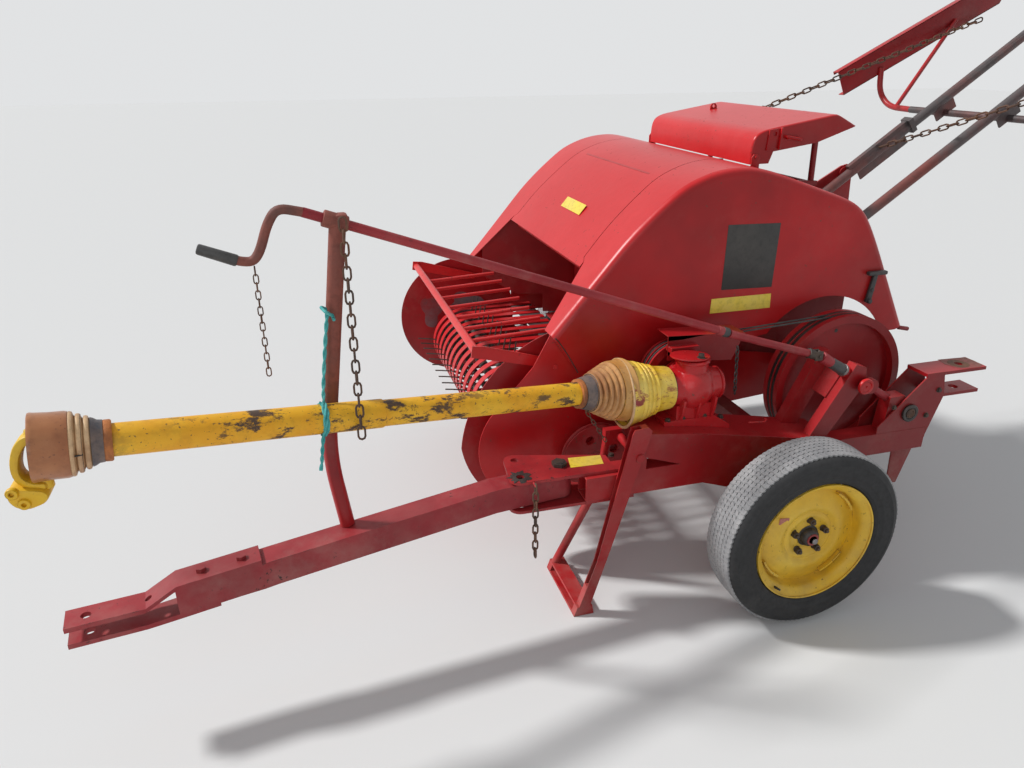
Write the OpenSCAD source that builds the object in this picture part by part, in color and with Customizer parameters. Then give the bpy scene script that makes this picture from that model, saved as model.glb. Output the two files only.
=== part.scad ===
// Low-density pick-up baler, trailed, standing on its wheels and parking stand
// Travel is along -Y, the machine's left side is +X, the floor is z = 0

/* [Wheels] */
// Outer radius of a tyre
tyre_r = 308; // [290:1:330]
// Width of a tyre over its sidewalls
tyre_w = 165; // [150:1:180]
// Radius of the rim flange
rim_r = 207; // [195:1:212]
// Width over the outer faces of both tyres
track_out = 2060; // [2000:10:2160]
// Radius of the hub pitch circle of the wheel studs
stud_pcd_r = 56; // [50:1:60]

/* [Side beam and axle] */
// Outer face of the left beam, from the centre line
beam_x = 755; // [745:1:765]
// Width of the left beam
beam_w = 70; // [60:1:80]
// Height of the left beam
beam_h = 80; // [70:1:90]
// Top of the left beam
beam_z = 500; // [490:1:510]
// Front end of the left beam
beam_y0 = -672; // [-690:1:-660]
// Rear end of the left beam
beam_y1 = 610; // [600:1:640]
// Wall of the beam and of the plates welded to it
wall = 6; // [5:1:8]
// Radius of the axle tube
axle_r = 30; // [26:1:34]

/* [Drawbar] */
// Distance of the drawbar pivot from the centre line
pivot_x = 661; // [650:1:670]
// Place of the drawbar pivot along the machine
pivot_y = -729; // [-735:1:-720]
// Length of the drawbar from its pivot to the hitch hole
drawbar_l = 1374; // [1300:1:1450]
// Width of the drawbar beam
drawbar_w = 78; // [72:1:82]
// Height of the drawbar beam
drawbar_h = 80; // [76:1:84]
// Outward angle of the drawbar in its working place
drawbar_out = 7.6; // [5:0.1:10]
// Radius of the hitch hole
hitch_hole_r = 13; // [11:0.5:15]

/* [Hood] */
// Left side of the hood, from the centre line
hood_x1 = 440; // [430:1:445]
// Right side of the hood, from the centre line
hood_x0 = -740; // [-760:1:-730]
// Sheet thickness of the hood
sheet = 3; // [2:0.5:4]

/* [Pick-up] */
// Place of the reel along the machine
reel_y = -720; // [-725:1:-715]
// Height of the reel above the floor
reel_z = 465; // [460:1:470]
// Radius of the front of the stripper bands
band_r = 138; // [132:1:142]
// Distance from one stripper band to the next
band_pitch = 68; // [66:1:70]
// Radius of the circle of the tine tips
tine_r = 232; // [215:1:240]
// Number of tine bars on the reel
tine_bars = 4; // [3:1:5]

/* [Drive] */
// Radius of the flywheel
fly_r = 255; // [240:1:260]
// Place of the flywheel along the machine
fly_y = 365; // [360:1:372]
// Height of the flywheel
fly_z = 620; // [615:1:626]
// Thickness of the flywheel
fly_w = 80; // [70:1:86]
// Radius of the belt grooves on the flywheel
fly_belt_r = 236; // [225:1:238]
// Radius of the belt grooves on the drive pulley
pulley_belt_r = 104; // [96:1:110]
// Place of the gearbox along the machine
gear_y = -281; // [-290:1:-275]
// Height of the gearbox shafts
gear_z = 728; // [720:1:735]
// Distance of the gearbox from the centre line
gear_x = 650; // [645:1:655]

/* [Bale chamber and chute] */
// Inner width of the bale chamber
chamber_w = 790; // [760:5:800]
// Inner height of the bale channel, square to its floor
chamber_h = 380; // [360:5:400]
// Rear end of the bale channel's floor
channel_end = 620; // [600:5:640]
// Slope of the bale chute
chute_slope = 35; // [33:0.5:37]
// Length of a chute rail from its hinge
chute_l = 2220; // [2100:10:2300]
// Distance between the two chute rails
rail_gap = 340; // [320:5:360]

/* [Parking stand and crank] */
// Place of the stand's hinge along the machine
stand_y = -508; // [-512:1:-504]
// Height of the stand's hinge
stand_z = 565; // [560:1:570]
// Height of the crank post's top
post_z1 = 1377; // [1350:1:1400]
// Outer radius of the crank post
post_r = 22; // [20:1:24]

/* [Hidden] */

$fn = 48;
RED = [0.70, 0.06, 0.07];
DARK_RED = [0.42, 0.05, 0.06];
YELLOW = [0.90, 0.68, 0.08];
BLACK = [0.08, 0.08, 0.08];
RUST = [0.36, 0.22, 0.15];
STEEL = [0.45, 0.44, 0.43];
run_gap = 0.3;
pin_gap = 0.05;

// Chute hinge and its tip
hinge_y = 780;
hinge_z = 1061;
rail_r = 21;
tip_y = hinge_y + chute_l * cos(chute_slope) + rail_r;

// Drawbar front, measured from its pivot
eye_len = 50;
bar_front = drawbar_l + eye_len;
front_y = pivot_y - bar_front * cos(drawbar_out) - drawbar_w / 2 * sin(drawbar_out);

// The origin lies midway between the drawbar's front and the chute's tip
mid_y = (front_y + tip_y) / 2;

hood_mid = (hood_x0 + hood_x1) / 2;
tyre_x = track_out / 2 - tyre_w / 2;
plate_low = beam_z - beam_h - 12;
bar_top = beam_z - 6;

// Places everything along the machine
module placed() {
  translate([0, -mid_y, 0]) children();
}

// Extrudes a (y, z) outline from x0 to x1
module side_plate(x0, x1, pts) {
  translate([x0, 0, 0]) rotate([90, 0, 90]) linear_extrude(x1 - x0) polygon(pts);
}

// Straight round bar between two points
module bar(p, q, r) {
  d = q - p;
  translate(p)
    rotate([0, acos(d[2] / norm(d)), atan2(d[1], d[0])])
      cylinder(r = r, h = norm(d));
}

// Round bar across the machine
module cross_bar(x0, x1, y, z, r) {
  translate([x0, y, z]) rotate([0, 90, 0]) cylinder(r = r, h = x1 - x0);
}

// Links of a chain from p to q, every second one turned by 90 degrees
module chain(p, q, n, wire, wide) {
  d = q - p;
  pitch = norm(d) / n;
  long = pitch + 2.1 * wire;
  translate(p) rotate([0, acos(d[2] / norm(d)), atan2(d[1], d[0])])
    for (i = [0:n - 1]) rotate([90, 0, i % 2 == 0 ? 0 : 90])
      translate([0, (i + 0.5) * pitch, -wire / 2]) linear_extrude(wire) link(long / 2, wide / 2, wire);
}

module link(a, b, w) {
  difference() {
    polygon([[b, a - b], [b * 0.55, a], [-b * 0.55, a], [-b, a - b], [-b, b - a], [-b * 0.55, -a],
      [b * 0.55, -a], [b, b - a]]);
    polygon([[b - w, a - b], [0, a - w], [w - b, a - b], [w - b, b - a], [0, w - a], [b - w, b - a]]);
  }
}

// Side beam, wedge rail and axle gusset
function axle_z() = tyre_r;
stand_shaft_r = 14;
rail_w = 172;

// Upper edge of the wedge rail, as (y, z)
rail_edge = [[-505, 632], [-272, 601], [232, 505]];
function rail_z(y) = y < -272 ? lookup(y, [[-505, 632], [-272, 601]]) : lookup(y, [[-272, 601], [232, 505]]);

module left_beam() {
  color(RED) placed() difference() {
    union() {
      translate([beam_x - beam_w, beam_y0, beam_z - beam_h])
        cube([beam_w, beam_y1 - beam_y0, beam_h]);
      // Outer web of the wedge, with the gusset that hangs down to the axle
      side_plate(beam_x - wall, beam_x, concat(rail_edge, [
        [232, beam_z - beam_h], [125, axle_z() - 25], [70, axle_z() - 52], [-70, axle_z() - 52],
        [-164, axle_z() + 78], [-262, beam_z - beam_h], [-505, beam_z - beam_h]]));
      // Flange of the rail, which the gearbox stands on
      side_plate(beam_x - rail_w, beam_x, concat(rail_edge, [for (i = [2:-1:0]) rail_edge[i] - [0, wall]]));
      // Front end of the wedge
      translate([beam_x - 60, -505, beam_z - 1]) cube([60, wall, 130]);
      // Inner web under the flange
      side_plate(beam_x - rail_w, beam_x - rail_w + wall, [[-430, 618], [200, 505], [200, 493], [-430, 493]]);
      for (y = [-300, 100]) translate([beam_x - rail_w, y, 470]) cube([rail_w - beam_w + 2, wall, 30]);
    }
    translate([beam_x - beam_w + wall, beam_y0 - 1, beam_z - beam_h + wall])
      cube([beam_w - 2 * wall, 150, beam_h - 2 * wall]);
    translate([beam_x - beam_w + wall, beam_y1 - 150, beam_z - beam_h + wall])
      cube([beam_w - 2 * wall, 151, beam_h - 2 * wall]);
    // Open triangle behind the stand
    side_plate(beam_x - wall - 1, beam_x + 1, [[-470, beam_z + 4], [-470, beam_z + 44], [-352, beam_z + 4]]);
    cross_bar(beam_x - 61, beam_x + 1, stand_y, stand_z, stand_shaft_r + pin_gap);
    cross_bar(beam_x - wall - 1, beam_x + 1, 0, axle_z(), axle_r + 0.1);
  }
}

// Plates that hold the drawbar, and the places of its holes
lock_r = 146;
lock_a = 15;
park_a = -28.6;
pivot_pin_r = 16;
plate_t = 10;
jaw_z0 = plate_low - plate_t;
lock_eye_y = -838;

function on_swing(a, r) = [pivot_x + r * sin(a), pivot_y - r * cos(a)];

module plate_outline(small) {
  hull() {
    translate(on_swing(lock_a, lock_r)) circle(r = 36, $fn = 32);
    translate(on_swing(park_a, lock_r)) circle(r = 36, $fn = 32);
    translate([beam_x - 115 + small, -566]) square([98 - small, 4]);
  }
  translate([beam_x - beam_w, -566]) square([beam_w - 16, 62]);
}

module pivot_plates() {
  color(RED) placed() difference() {
    union() {
      translate([0, 0, beam_z + 0.2]) linear_extrude(plate_t) plate_outline(0);
      translate([0, 0, jaw_z0]) linear_extrude(plate_t) plate_outline(0);
      // Eye for the lock pin's chain
      bar([725, lock_eye_y, beam_z + 5.2], [764, lock_eye_y, beam_z + 5.2], 4);
      // Lower plate is carried by the beam through a block
      translate([beam_x - beam_w, beam_y0 + 8, jaw_z0])
        cube([beam_w - 16, 165, beam_z - beam_h - 0.2 - jaw_z0]);
    }
    translate([690, -505.3, beam_z]) cube([60, 40, 30]);
    for (a = [lock_a, park_a]) translate(concat(on_swing(a, lock_r), jaw_z0 - 1))
      cylinder(r = lock_hole_r, h = 200);
    translate([pivot_x, pivot_y, jaw_z0 - 1]) cylinder(r = pivot_pin_r + pin_gap, h = 200);
  }
}

lock_hole_r = 13;

// Axle, frame under the chamber and the members across the machine
chamber_x1 = hood_mid + chamber_w / 2;
chamber_x0 = hood_mid - chamber_w / 2;
chamber_wall = 5;
low_z = 608;
function floor_at(y) = hinge_z + 12 + (y - hinge_y) * tan(chute_slope);
function roof_at(y) = floor_at(y) + chamber_h / cos(chute_slope);
knee_y = hinge_y + (low_z - 12 - hinge_z) / tan(chute_slope);
out_y = channel_end - chamber_h * sin(chute_slope);
out_z = floor_at(channel_end) + chamber_h * cos(chute_slope);
right_rail_x = -690;
stub_r = 20;

module axle_beam() {
  color(DARK_RED) placed() union() {
    cross_bar(-tyre_x + 48, tyre_x - 48, 0, axle_z(), axle_r);
    for (s = [-1, 1]) {
      cross_bar(min(s * (tyre_x - 50), s * (tyre_x + 56)), max(s * (tyre_x - 50), s * (tyre_x + 56)), 0,
        axle_z(), stub_r);
      cross_bar(min(s * (tyre_x - 60), s * (tyre_x - 42)), max(s * (tyre_x - 60), s * (tyre_x - 42)), 0,
        axle_z(), 42);
    }
    // Clamp plates that hang from the right rail
    for (x = [right_rail_x - 6, right_rail_x + 70])
      side_plate(x, x + 6, [[-90, beam_z - beam_h - 0.3], [90, beam_z - beam_h - 0.3], [52, axle_z() - 46],
        [-52, axle_z() - 46]]);
  }
}

member_z0 = 428;
member_h = 64;

module cross_members() {
  color(DARK_RED) placed() difference() {
    union() {
      // Right rail
      translate([right_rail_x, -470, beam_z - beam_h]) cube([70, 1060, beam_h]);
      // Front and middle members, and a flat one behind the flywheel
      for (y = [-190, 20]) translate([right_rail_x + 2, y, member_z0])
        cube([beam_x - beam_w - right_rail_x - 2.3, 60, member_h]);
      translate([right_rail_x + 2, 572, beam_z - beam_h + 2])
        cube([beam_x - beam_w - right_rail_x - 2.3, 34, 30]);
      // Uprights that the chamber stands on
      for (x = [chamber_x0 + 2, chamber_x1 - 52]) {
        for (y = [-55, 30]) translate([x, y, beam_z - beam_h + 20])
          cube([50, 44, low_z - 6.3 - (beam_z - beam_h + 20)]);
        side_plate(x, x + 50, [[574, 440], [604, 440], [604, floor_at(604) - 7], [574, floor_at(574) - 7]]);
      }
      for (x = [chamber_x0 + 2, chamber_x1 - 52]) translate([x, -188, member_z0]) cube([50, 300, member_h]);
      // Arm that holds the right end of the pick-up shaft
      side_plate(right_rail_x - 60, right_rail_x - 48,
        [[-575, 380], [-485, 380], [-400, 420], [-400, 500], [-485, 470], [-575, 470]]);
      translate([right_rail_x - 50, -460, 440]) cube([52, 60, 50]);
    }
    cross_bar(right_rail_x - 70, right_rail_x - 40, lift_y, lift_z, lift_shaft_r + pin_gap);
    // Notch for the belts
    translate([fly_x - 40, 10, 462]) cube([80, 90, 40]);
  }
}

// Side wall of the channel, as (y, z)
function channel_side() = [
  [-226, 520], [225, 520], [240, 525], [480, 525],
  [600, floor_at(600) - 60], [channel_end, floor_at(channel_end) - 6],
  [channel_end, floor_at(channel_end)], [out_y, out_z], [out_y, 1400], [-226, 1400]
];

module bale_chamber() {
  color(DARK_RED) placed() difference() {
    union() {
      intersection() {
        union() {
          for (x = [chamber_x0 - chamber_wall, chamber_x1]) side_plate(x, x + chamber_wall, channel_side());
          side_plate(chamber_x0 - 1, chamber_x1 + 1,
            [[-41.5, low_z - 6], [-41.5, low_z], [knee_y, low_z], [channel_end, floor_at(channel_end)],
            [channel_end, floor_at(channel_end) - 6], [knee_y + 2, low_z - 6]]);
          side_plate(chamber_x0 - 1, chamber_x1 + 1,
            [[-40, roof_at(-40)], [-40, roof_at(-40) + 6], [out_y, roof_at(out_y) + 6],
            [out_y, roof_at(out_y)]]);
        }
        side_plate(chamber_x0 - 20, chamber_x1 + 20,
          concat([[-684, 500]], under_line(), [[700, 900], [700, 500]]));
      }
      // Housing of the flywheel's bearing
      cross_bar(chamber_x1, chamber_x1 + 90, fly_y, fly_z, 50);
    }
    cross_bar(chamber_x1 + 20, chamber_x1 + 91, fly_y, fly_z, 26 + pin_gap);
  }
}

// Walls, back plate and table that lead the crop into the chamber
floor_y0 = -372;
back_y = -230;

module feed_walls() {
  color(RED) placed() difference() {
    union() {
      intersection() {
        union() {
          for (s = [-1, 1]) translate([hood_mid, 0, 600]) linear_extrude(760)
            polygon([[s * (chamber_w / 2 + 4), back_y], [s * (chamber_w / 2 + 1), back_y],
              [s * 505, -640], [s * 508.5, -640]]);
          translate([chamber_x0 - 1, back_y - 4, 600]) cube([chamber_w + 2, 4, 760]);
        }
        side_plate(chamber_x0 - 120, chamber_x1 + 120,
          concat(under_line(), [[300, 604], [floor_y0, 604], [floor_y0, 690], [-490, 690], [-640, 780]]));
      }
      translate([chamber_x0, floor_y0, 602]) cube([chamber_w, 330, 6]);
      // Folded top of the back plate, under the hood
      side_plate(hood_mid - 300, hood_mid + 300,
        [[-234, 1318], [-234, 1324.1], [-204, 1335.3], [-204, 1332], [-229, 1322.5], [-229, 1318]]);
      for (x = [chamber_x0 + 4, chamber_x1 - 44]) translate([x, -188, 492.3]) cube([40, 50, 110]);
    }
    // Slots of the packer fingers
    for (i = [-3:3]) translate([hood_mid + i * 100 - 11, back_y - 8, 640]) cube([22, 12, 470]);
  }
}

// Hood line, from the front lip over the top to the rear, as (y, z)
hood_line = [[-684, 862], [-560, 1006], [-425, 1165], [-330, 1252], [-237, 1326], [-130, 1366], [-24, 1377],
  [60, 1362],
  [143, 1337], [412, 1245], [470, 1206], [511, 1150]];

// Height of the hood's skin above the knotters
function hood_over(y) = hood_line[7][1]
  + (y - hood_line[7][0]) * (hood_line[8][1] - hood_line[7][1]) / (hood_line[8][0] - hood_line[7][0]);
hood_n = len(hood_line);

wall_gaps = [5.4, 5.4, 5.4, 4.6, 4.2, 3.5, 3.35, 3.4, 3.6, 4.1, 5, 6];
function under_line() = [for (i = [0:hood_n - 1]) hood_line[i] - [0, wall_gaps[i]]];
function inner_line() = [for (i = [hood_n - 1:-1:0]) hood_line[i] + (i < 6 ? [3, -1.5] : [-1, -3])];

module hood_skin(x0, x1) {
  side_plate(x0, x1, concat(hood_line, inner_line()));
}

arch_r = 290;
side_tail = concat([[560, 1068], [726, 762], [690, 750], [648, 748]],
  [for (a = [24:12:144]) [fly_y + arch_r * cos(a), fly_z + arch_r * sin(a)]], [[-300, 728]]);

// Ear with a pin that the knotter cover turns on
module cover_ear(x) {
  side_plate(x, x + 6, [[cover_hy - 16, hood_over(cover_hy) - 3.9], [cover_hy - 16, cover_hz],
    [cover_hy - 8, cover_hz + 10], [cover_hy + 8, cover_hz + 10],
    [cover_hy + 16, cover_hz], [cover_hy + 16, hood_over(cover_hy) - 9.9]]);
  cross_bar(x - 12, x + 18, cover_hy, cover_hz, 6);
}

module hood_left() {
  color(RED) placed() {
    difference() {
      union() {
        side_plate(hood_x1 - sheet, hood_x1, concat(hood_line, side_tail, [[-592, 728]]));
        difference() {
          hood_skin(hood_mid + 340, hood_x1);
          // Seam beside the centre panel, flared towards the front lip
          translate([0, 0, 700]) linear_extrude(800) polygon([[hood_mid + 330, -800], [hood_mid + 520, -800],
            [hood_mid + 518, -690], [hood_mid + 424, -515], [hood_mid + 402, -505], [hood_mid + 362, -20],
              [hood_mid + 362, 600], [hood_mid + 330, 600]]);
        }
        // Flange that closes the rear edge
        translate([chamber_x1 + 5.3, 508, 1092]) cube([hood_x1 - chamber_x1 - 6.3, 3, 60]);
      }
    }
    // Lower shield with its round front, in front of the pick-up drive
    difference() {
      side_plate(hood_x1 - 10, hood_x1 - 6, concat([[-687, 868], [-590, 726.5], [-300, 726.5], [-300, 420],
        [-400, 330], [-560, 262]],
        [for (a = [270:-15:135]) [-720 + 217 * cos(a), 465 + 217 * sin(a)]], [[-745, 760]]));
      cross_bar(hood_x1 - 20, hood_x1, lift_y, lift_z, lift_shaft_r + pin_gap);
      cross_bar(hood_x1 - 20, hood_x1, guard_y, guard_z, 8 + pin_gap);
    }
    // Strips that join hood, shield and frame
    translate([hood_x1 - 6.2, -560, 726.7]) cube([3.4, 250, 14]);
    translate([hood_x1 - 9, -330, 700]) cube([6.2, 20, 40]);
    translate([chamber_x1 + 8, -180, 492.3]) cube([30, 30, 258]);
    translate([chamber_x1 + 8, -180, 730]) cube([hood_x1 - chamber_x1 - 10, 30, 20]);
    cover_ear(hood_mid + cover_half + 4);
    translate([chamber_x1 + 5.3, 480, 1000]) cube([hood_x1 - chamber_x1 - 8, 20, 90]);
    translate([chamber_x1 + 31.3, -330, 842]) cube([hood_x1 - chamber_x1 - 33, 20, 26]);
  }
}

module hood_right() {
  color(RED) placed() {
    difference() {
      union() {
        side_plate(hood_x0, hood_x0 + sheet, concat(hood_line, side_tail,
          [[-592, 728], [-650, 715], [-700, 728]]));
        difference() {
          hood_skin(hood_x0, hood_mid - 340);
          translate([0, 0, 700]) linear_extrude(800) polygon([[hood_mid - 330, -800], [hood_mid - 520, -800],
            [hood_mid - 518, -690], [hood_mid - 424, -515], [hood_mid - 402, -505], [hood_mid - 362, -20],
              [hood_mid - 362, 600], [hood_mid - 330, 600]]);
        }
        translate([hood_x0 + 1, 508, 1092]) cube([chamber_x0 - hood_x0 - 6.3, 3, 60]);
      }
      cross_bar(hood_x0 - 1, hood_x0 + 10, guard_y, guard_z, 8 + pin_gap);
    }
    translate([hood_x0 + 2, 480, 1000]) cube([chamber_x0 - 5.3 - hood_x0 - 2, 20, 90]);
    translate([hood_x0 + 2, -180, 730]) cube([chamber_x0 - 10 - hood_x0, 30, 20]);
    translate([chamber_x0 - 38, -180, 492.3]) cube([30, 30, 258]);
    cover_ear(hood_mid - cover_half - 10);
  }
}

module hood_centre() {
  color(RED) placed() {
    union() {
      difference() {
        hood_skin(hood_mid - 420, hood_mid + 420);
        for (s = [-1, 1]) translate([0, 0, 700]) linear_extrude(800)
          polygon([[hood_mid + s * 600, -800], [hood_mid + s * 405, -800],
          [hood_mid + s * 405, -530], [hood_mid + s * 398, -505], [hood_mid + s * 359, -20],
            [hood_mid + s * 359, 600], [hood_mid + s * 600, 600]]);
        translate([hood_x0, -800, 700]) cube([1300, 272, 800]);
        translate([hood_x0, 150, 1100]) cube([1300, 500, 300]);
      }
      // Turned-in lower front edge
      side_plate(hood_mid - 400, hood_mid + 400,
        [[-528, 1044], [-505, 1040], [-500, 1020], [-503, 1019], [-508, 1037], [-528, 1041]]);
    }
  }
}

// Knotter table under its cover
cover_hy = 120;
// Height of the hinge over the hood's skin
ear_rise = 36.0723;
cover_hz = hood_over(cover_hy) + ear_rise;
cover_half = 401;

module knotter_table() {
  color(DARK_RED) placed() {
    for (s = [-1, 1]) {
      side_plate(hood_mid + s * 335 - 5, hood_mid + s * 335 + 5,
        [[100, roof_at(100) + 6.4], [372, roof_at(372) + 6.6], [438, 1262], [438, 1276],
        [300, 1284], [100, 1310]]);
      // Blocks of the two knotters, left plain
      side_plate(hood_mid + s * 150 - 45, hood_mid + s * 150 + 45,
        [[140, roof_at(140) + 6.3], [240, roof_at(240) + 6.3], [240, 1280], [140, 1300]]);
    }
    cross_bar(hood_mid - 336, hood_mid + 336, 200, 1240, 18);
    // Rear tube with the two props of the cover
    cross_bar(hood_mid - 436, hood_mid + 336, 424, 1261, 12);
    bar([170, 424, 1261], [170, 417, cover_hz + 116], 11);
    bar([hood_mid - 425, 424, 1261], [hood_mid - 435, 446, cover_hz], 11.4);
  }
}

// Side of the knotter cover, as (y, height over the hinge)
function over_hinge(points) = [for (p = points) [p[0], cover_hz + p[1]]];
cover_out = over_hinge([[104, -25.5], [105, 40], [113, 68], [135, 86], [196, 96], [430, 134], [446, 132],
  [523, 93], [365, 40], [192, 16], [178, -24]]);

module knotter_cover() {
  color(RED) placed() {
    difference() {
      side_plate(hood_mid - cover_half, hood_mid + cover_half, cover_out);
      side_plate(hood_mid - cover_half + 3, hood_mid + cover_half - 3,
        over_hinge([[107, -50], [108, 40], [116, 66], [137, 83], [196, 93],
        [430, 131], [444, 129], [516, 92], [365, 0], [196, -50]]));
      cross_bar(hood_mid - 450, hood_mid + 450, cover_hy, cover_hz, 6 + pin_gap);
    }
    // Grab handle on the side and the eye on top
    translate([hood_mid + cover_half, 250, cover_hz + 50]) cube([14, 60, 10]);
    translate([hood_mid - 250, 300, cover_hz + 106]) difference() {
      cube([7, 30, 34]);
      translate([-1, 15, 21]) rotate([0, 90, 0]) cylinder(r = 8, h = 10);
    }
  }
}

// Brackets of the bale chute
bracket_t = 8;

module chute_brackets() {
  color(RED) placed() difference() {
    union() {
      for (s = [-1, 1]) {
        x = hood_mid + s * (rail_gap / 2 + 40) - bracket_t / 2;
        side_plate(x, x + bracket_t, [[440, floor_at(440) - 7.8],
          [channel_end - 6, floor_at(channel_end - 6) - 7.8], [700, 1020],
          [hinge_y - 20, hinge_z + 26], [hinge_y + 14, hinge_z + 22], [hinge_y + 28, hinge_z - 10],
            [hinge_y - 10, hinge_z - 40], [460, 760]]);
        side_plate(x - 20, x + 20 + bracket_t,
          [[440, floor_at(440) - 7.8], [560, floor_at(560) - 7.8], [560, floor_at(560) - 17],
          [440, floor_at(440) - 17]]);
      }
      // Tall plate on the right with the boss of the setting bar
      side_plate(hood_mid - rail_gap / 2 - 44, hood_mid - rail_gap / 2 - 36,
        [[hinge_y, hinge_z + 20], [hinge_y - 20, hinge_z + 26], [780, 1130],
        [972, 1238], [1004, 1246], [1028, 1228], [1034, 1205], [1044, 1050], [960, 1040],
          [hinge_y - 10, hinge_z - 40]]);
      cross_bar(hood_mid - rail_gap / 2 - 44, hood_mid - rail_gap / 2 - 28, 993, 1206, 30);
    }
    cross_bar(-800, 600, hinge_y, hinge_z, hinge_pin_r + pin_gap);
  }
}

hinge_pin_r = 14;

module sloped() {
  translate([0, hinge_y, hinge_z]) rotate([chute_slope, 0, 0]) children();
}

function at_slope(d, up) = [hinge_y + d * cos(chute_slope) - up * sin(chute_slope),
  hinge_z + d * sin(chute_slope) + up * cos(chute_slope)];

module chute_rails() {
  color(STEEL) placed() {
    cross_bar(hood_mid - rail_gap / 2 - 52, hood_mid + rail_gap / 2 + 52, hinge_y, hinge_z, hinge_pin_r);
    sloped() for (s = [-1, 1]) translate([hood_mid + s * rail_gap / 2, 0, 0]) {
      rotate([-90, 0, 0]) cylinder(r = rail_r, h = chute_l);
      rotate([0, 90, 0]) cylinder(r = 30, h = 36, center = true);
      // Gusset under the cross tube
      translate([-4, 730, -70]) cube([8, 110, 62]);
    }
    // Setting bar on the right rail and its clamp
    sloped() translate([hood_mid - rail_gap / 2, 0, 0]) {
      translate([-11, 262, 6]) cube([22, 350, 30]);
      translate([-26, 590, -26]) cube([52, 24, 64]);
      translate([-12, 300, -66]) cube([8, 270, 60]);
    }
    translate([0, at_slope(780, -60)[0], at_slope(780, -60)[1]])
      cross_bar(hood_mid - 380, hood_mid + 380, 0, 0, 15);
    translate([0, at_slope(chute_l, 0)[0], at_slope(chute_l, 0)[1]])
      cross_bar(hood_mid - 230, hood_mid + 230, 0, 0, rail_r);
    translate([0, at_slope(1560, 0)[0], at_slope(1560, 0)[1]])
      cross_bar(hood_mid - rail_gap / 2, hood_mid + rail_gap / 2, 0, 0, 12);
  }
}

guide_x = 630;
guide_len = 960;

module chute_guides() {
  color(DARK_RED) placed() {
    for (s = [-1, 1]) {
      x = hood_mid + s * guide_x;
      d = at_slope(780, -60);
      // Channel of the side guide, open to the outside
      translate([x, 1234, 1569]) rotate([26.5, 0, 0]) difference() {
        translate([s > 0 ? 0 : -40, 0, -60]) cube([40, guide_len, 120]);
        translate([s > 0 ? 4 : -41, -1, -56]) cube([37, guide_len + 2, 112]);
      }
      // Arm from the cross tube, bent up to the guide
      bar([hood_mid + s * 382.6, d[0], d[1]], [hood_mid + s * 520, d[0], d[1] + 20], 14);
      translate([hood_mid + s * 520, d[0], d[1] + 20]) sphere(r = 15);
      bar([hood_mid + s * 520, d[0], d[1] + 20], [x, d[0], 1640], 13.5);
      // Stay from the arm to the guide's upper half
      bar([hood_mid + s * 480, d[0], d[1] + 14], [x, 1850, 1860], 10);
    }
  }
}

module stay_chains() {
  color(RUST) placed() for (s = [-1, 1])
    chain(s > 0 ? [-299, 1117, 1322] : [-590, 452, 1400], s > 0 ? [470, 1237, 1604] : [-751.6, 1985, 1862],
      s > 0 ? 20 : 36, 7, 26);
}

// Gearbox
module gearbox() {
  color(RED) placed() {
    difference() {
      union() {
        translate([gear_x, gear_y, gear_z]) {
          sphere(r = 78);
          rotate([90, 0, 0]) cylinder(r1 = 70, r2 = 52, h = 92);
          rotate([-90, 0, 0]) cylinder(r1 = 72, r2 = 48, h = 96);
          rotate([0, -90, 0]) cylinder(r = 56, h = 90);
          translate([0, 0, 40]) cylinder(r = 52, h = 48);
          translate([-46, -66, -108]) cube([92, 132, 60]);
        }
        side_plate(gear_x - 50, gear_x + 50, [[-390, rail_z(-390) + 0.3], [-272, 601.3],
          [-150, rail_z(-150) + 0.3],
          [-150, rail_z(-150) + 14], [gear_y + 72, gear_z - 96], [gear_y - 72, gear_z - 96],
            [-390, rail_z(-390) + 14]]);
      }
      translate([gear_x, gear_y, gear_z]) rotate([0, -90, 0]) translate([0, 0, 50])
        cylinder(r = 20 + pin_gap, h = 60);
      translate([gear_x, gear_y, gear_z]) rotate([90, 0, 0]) translate([0, 0, 60]) cylinder(r = 18.3, h = 60);
    }
  }
}

pulley_x = 530;
groove_w = 17;

module grooves(r, n) {
  for (i = [0:n - 1]) translate([0, 0, (i - (n - 1) / 2) * (groove_w + 5)])
    rotate_extrude() polygon([[r - 12, -4], [r + 12, -groove_w / 2 - 1], [r + 12, groove_w / 2 + 1],
      [r - 12, 4]]);
}

module drive_pulley() {
  color(RED) placed() translate([pulley_x, gear_y, gear_z]) rotate([0, 90, 0]) union() {
    difference() {
      cylinder(r = pulley_belt_r + 8, h = 56, center = true);
      grooves(pulley_belt_r, 2);
      for (s = [-1, 1]) translate([0, 0, s * 26]) difference() {
        cylinder(r = pulley_belt_r - 20, h = 40, center = true);
        cylinder(r = 36, h = 42, center = true);
      }
    }
    cylinder(r = 20, h = 66);
  }
}

fly_x = 530;

module flywheel() {
  color(RED) placed() translate([fly_x, fly_y, fly_z]) rotate([0, 90, 0]) {
    difference() {
      cylinder(r = fly_r, h = fly_w, center = true);
      grooves(fly_belt_r + 9, 2);
      for (s = [-1, 1]) translate([0, 0, s * 34]) difference() {
        cylinder(r = fly_r - 28, h = 44, center = true);
        cylinder(r = 52, h = 50, center = true);
      }
    }
    translate([0, 0, -fly_x + chamber_x1 + 24]) cylinder(r = 26, h = fly_x - chamber_x1 + 36);
  }
}

module belt_outline(d) {
  hull() {
    translate([gear_y, gear_z]) circle(r = pulley_belt_r + d, $fn = 32);
    translate([fly_y, fly_z]) circle(r = fly_belt_r + 9 + d, $fn = 32);
  }
}

module drive_belts() {
  color(BLACK) placed()
    for (i = [-0.5, 0.5]) translate([fly_x + i * (groove_w + 5) - 3, 0, 0]) rotate([90, 0, 90])
      linear_extrude(6) difference() {
        belt_outline(7.5);
        belt_outline(2.4);
      }
}

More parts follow.
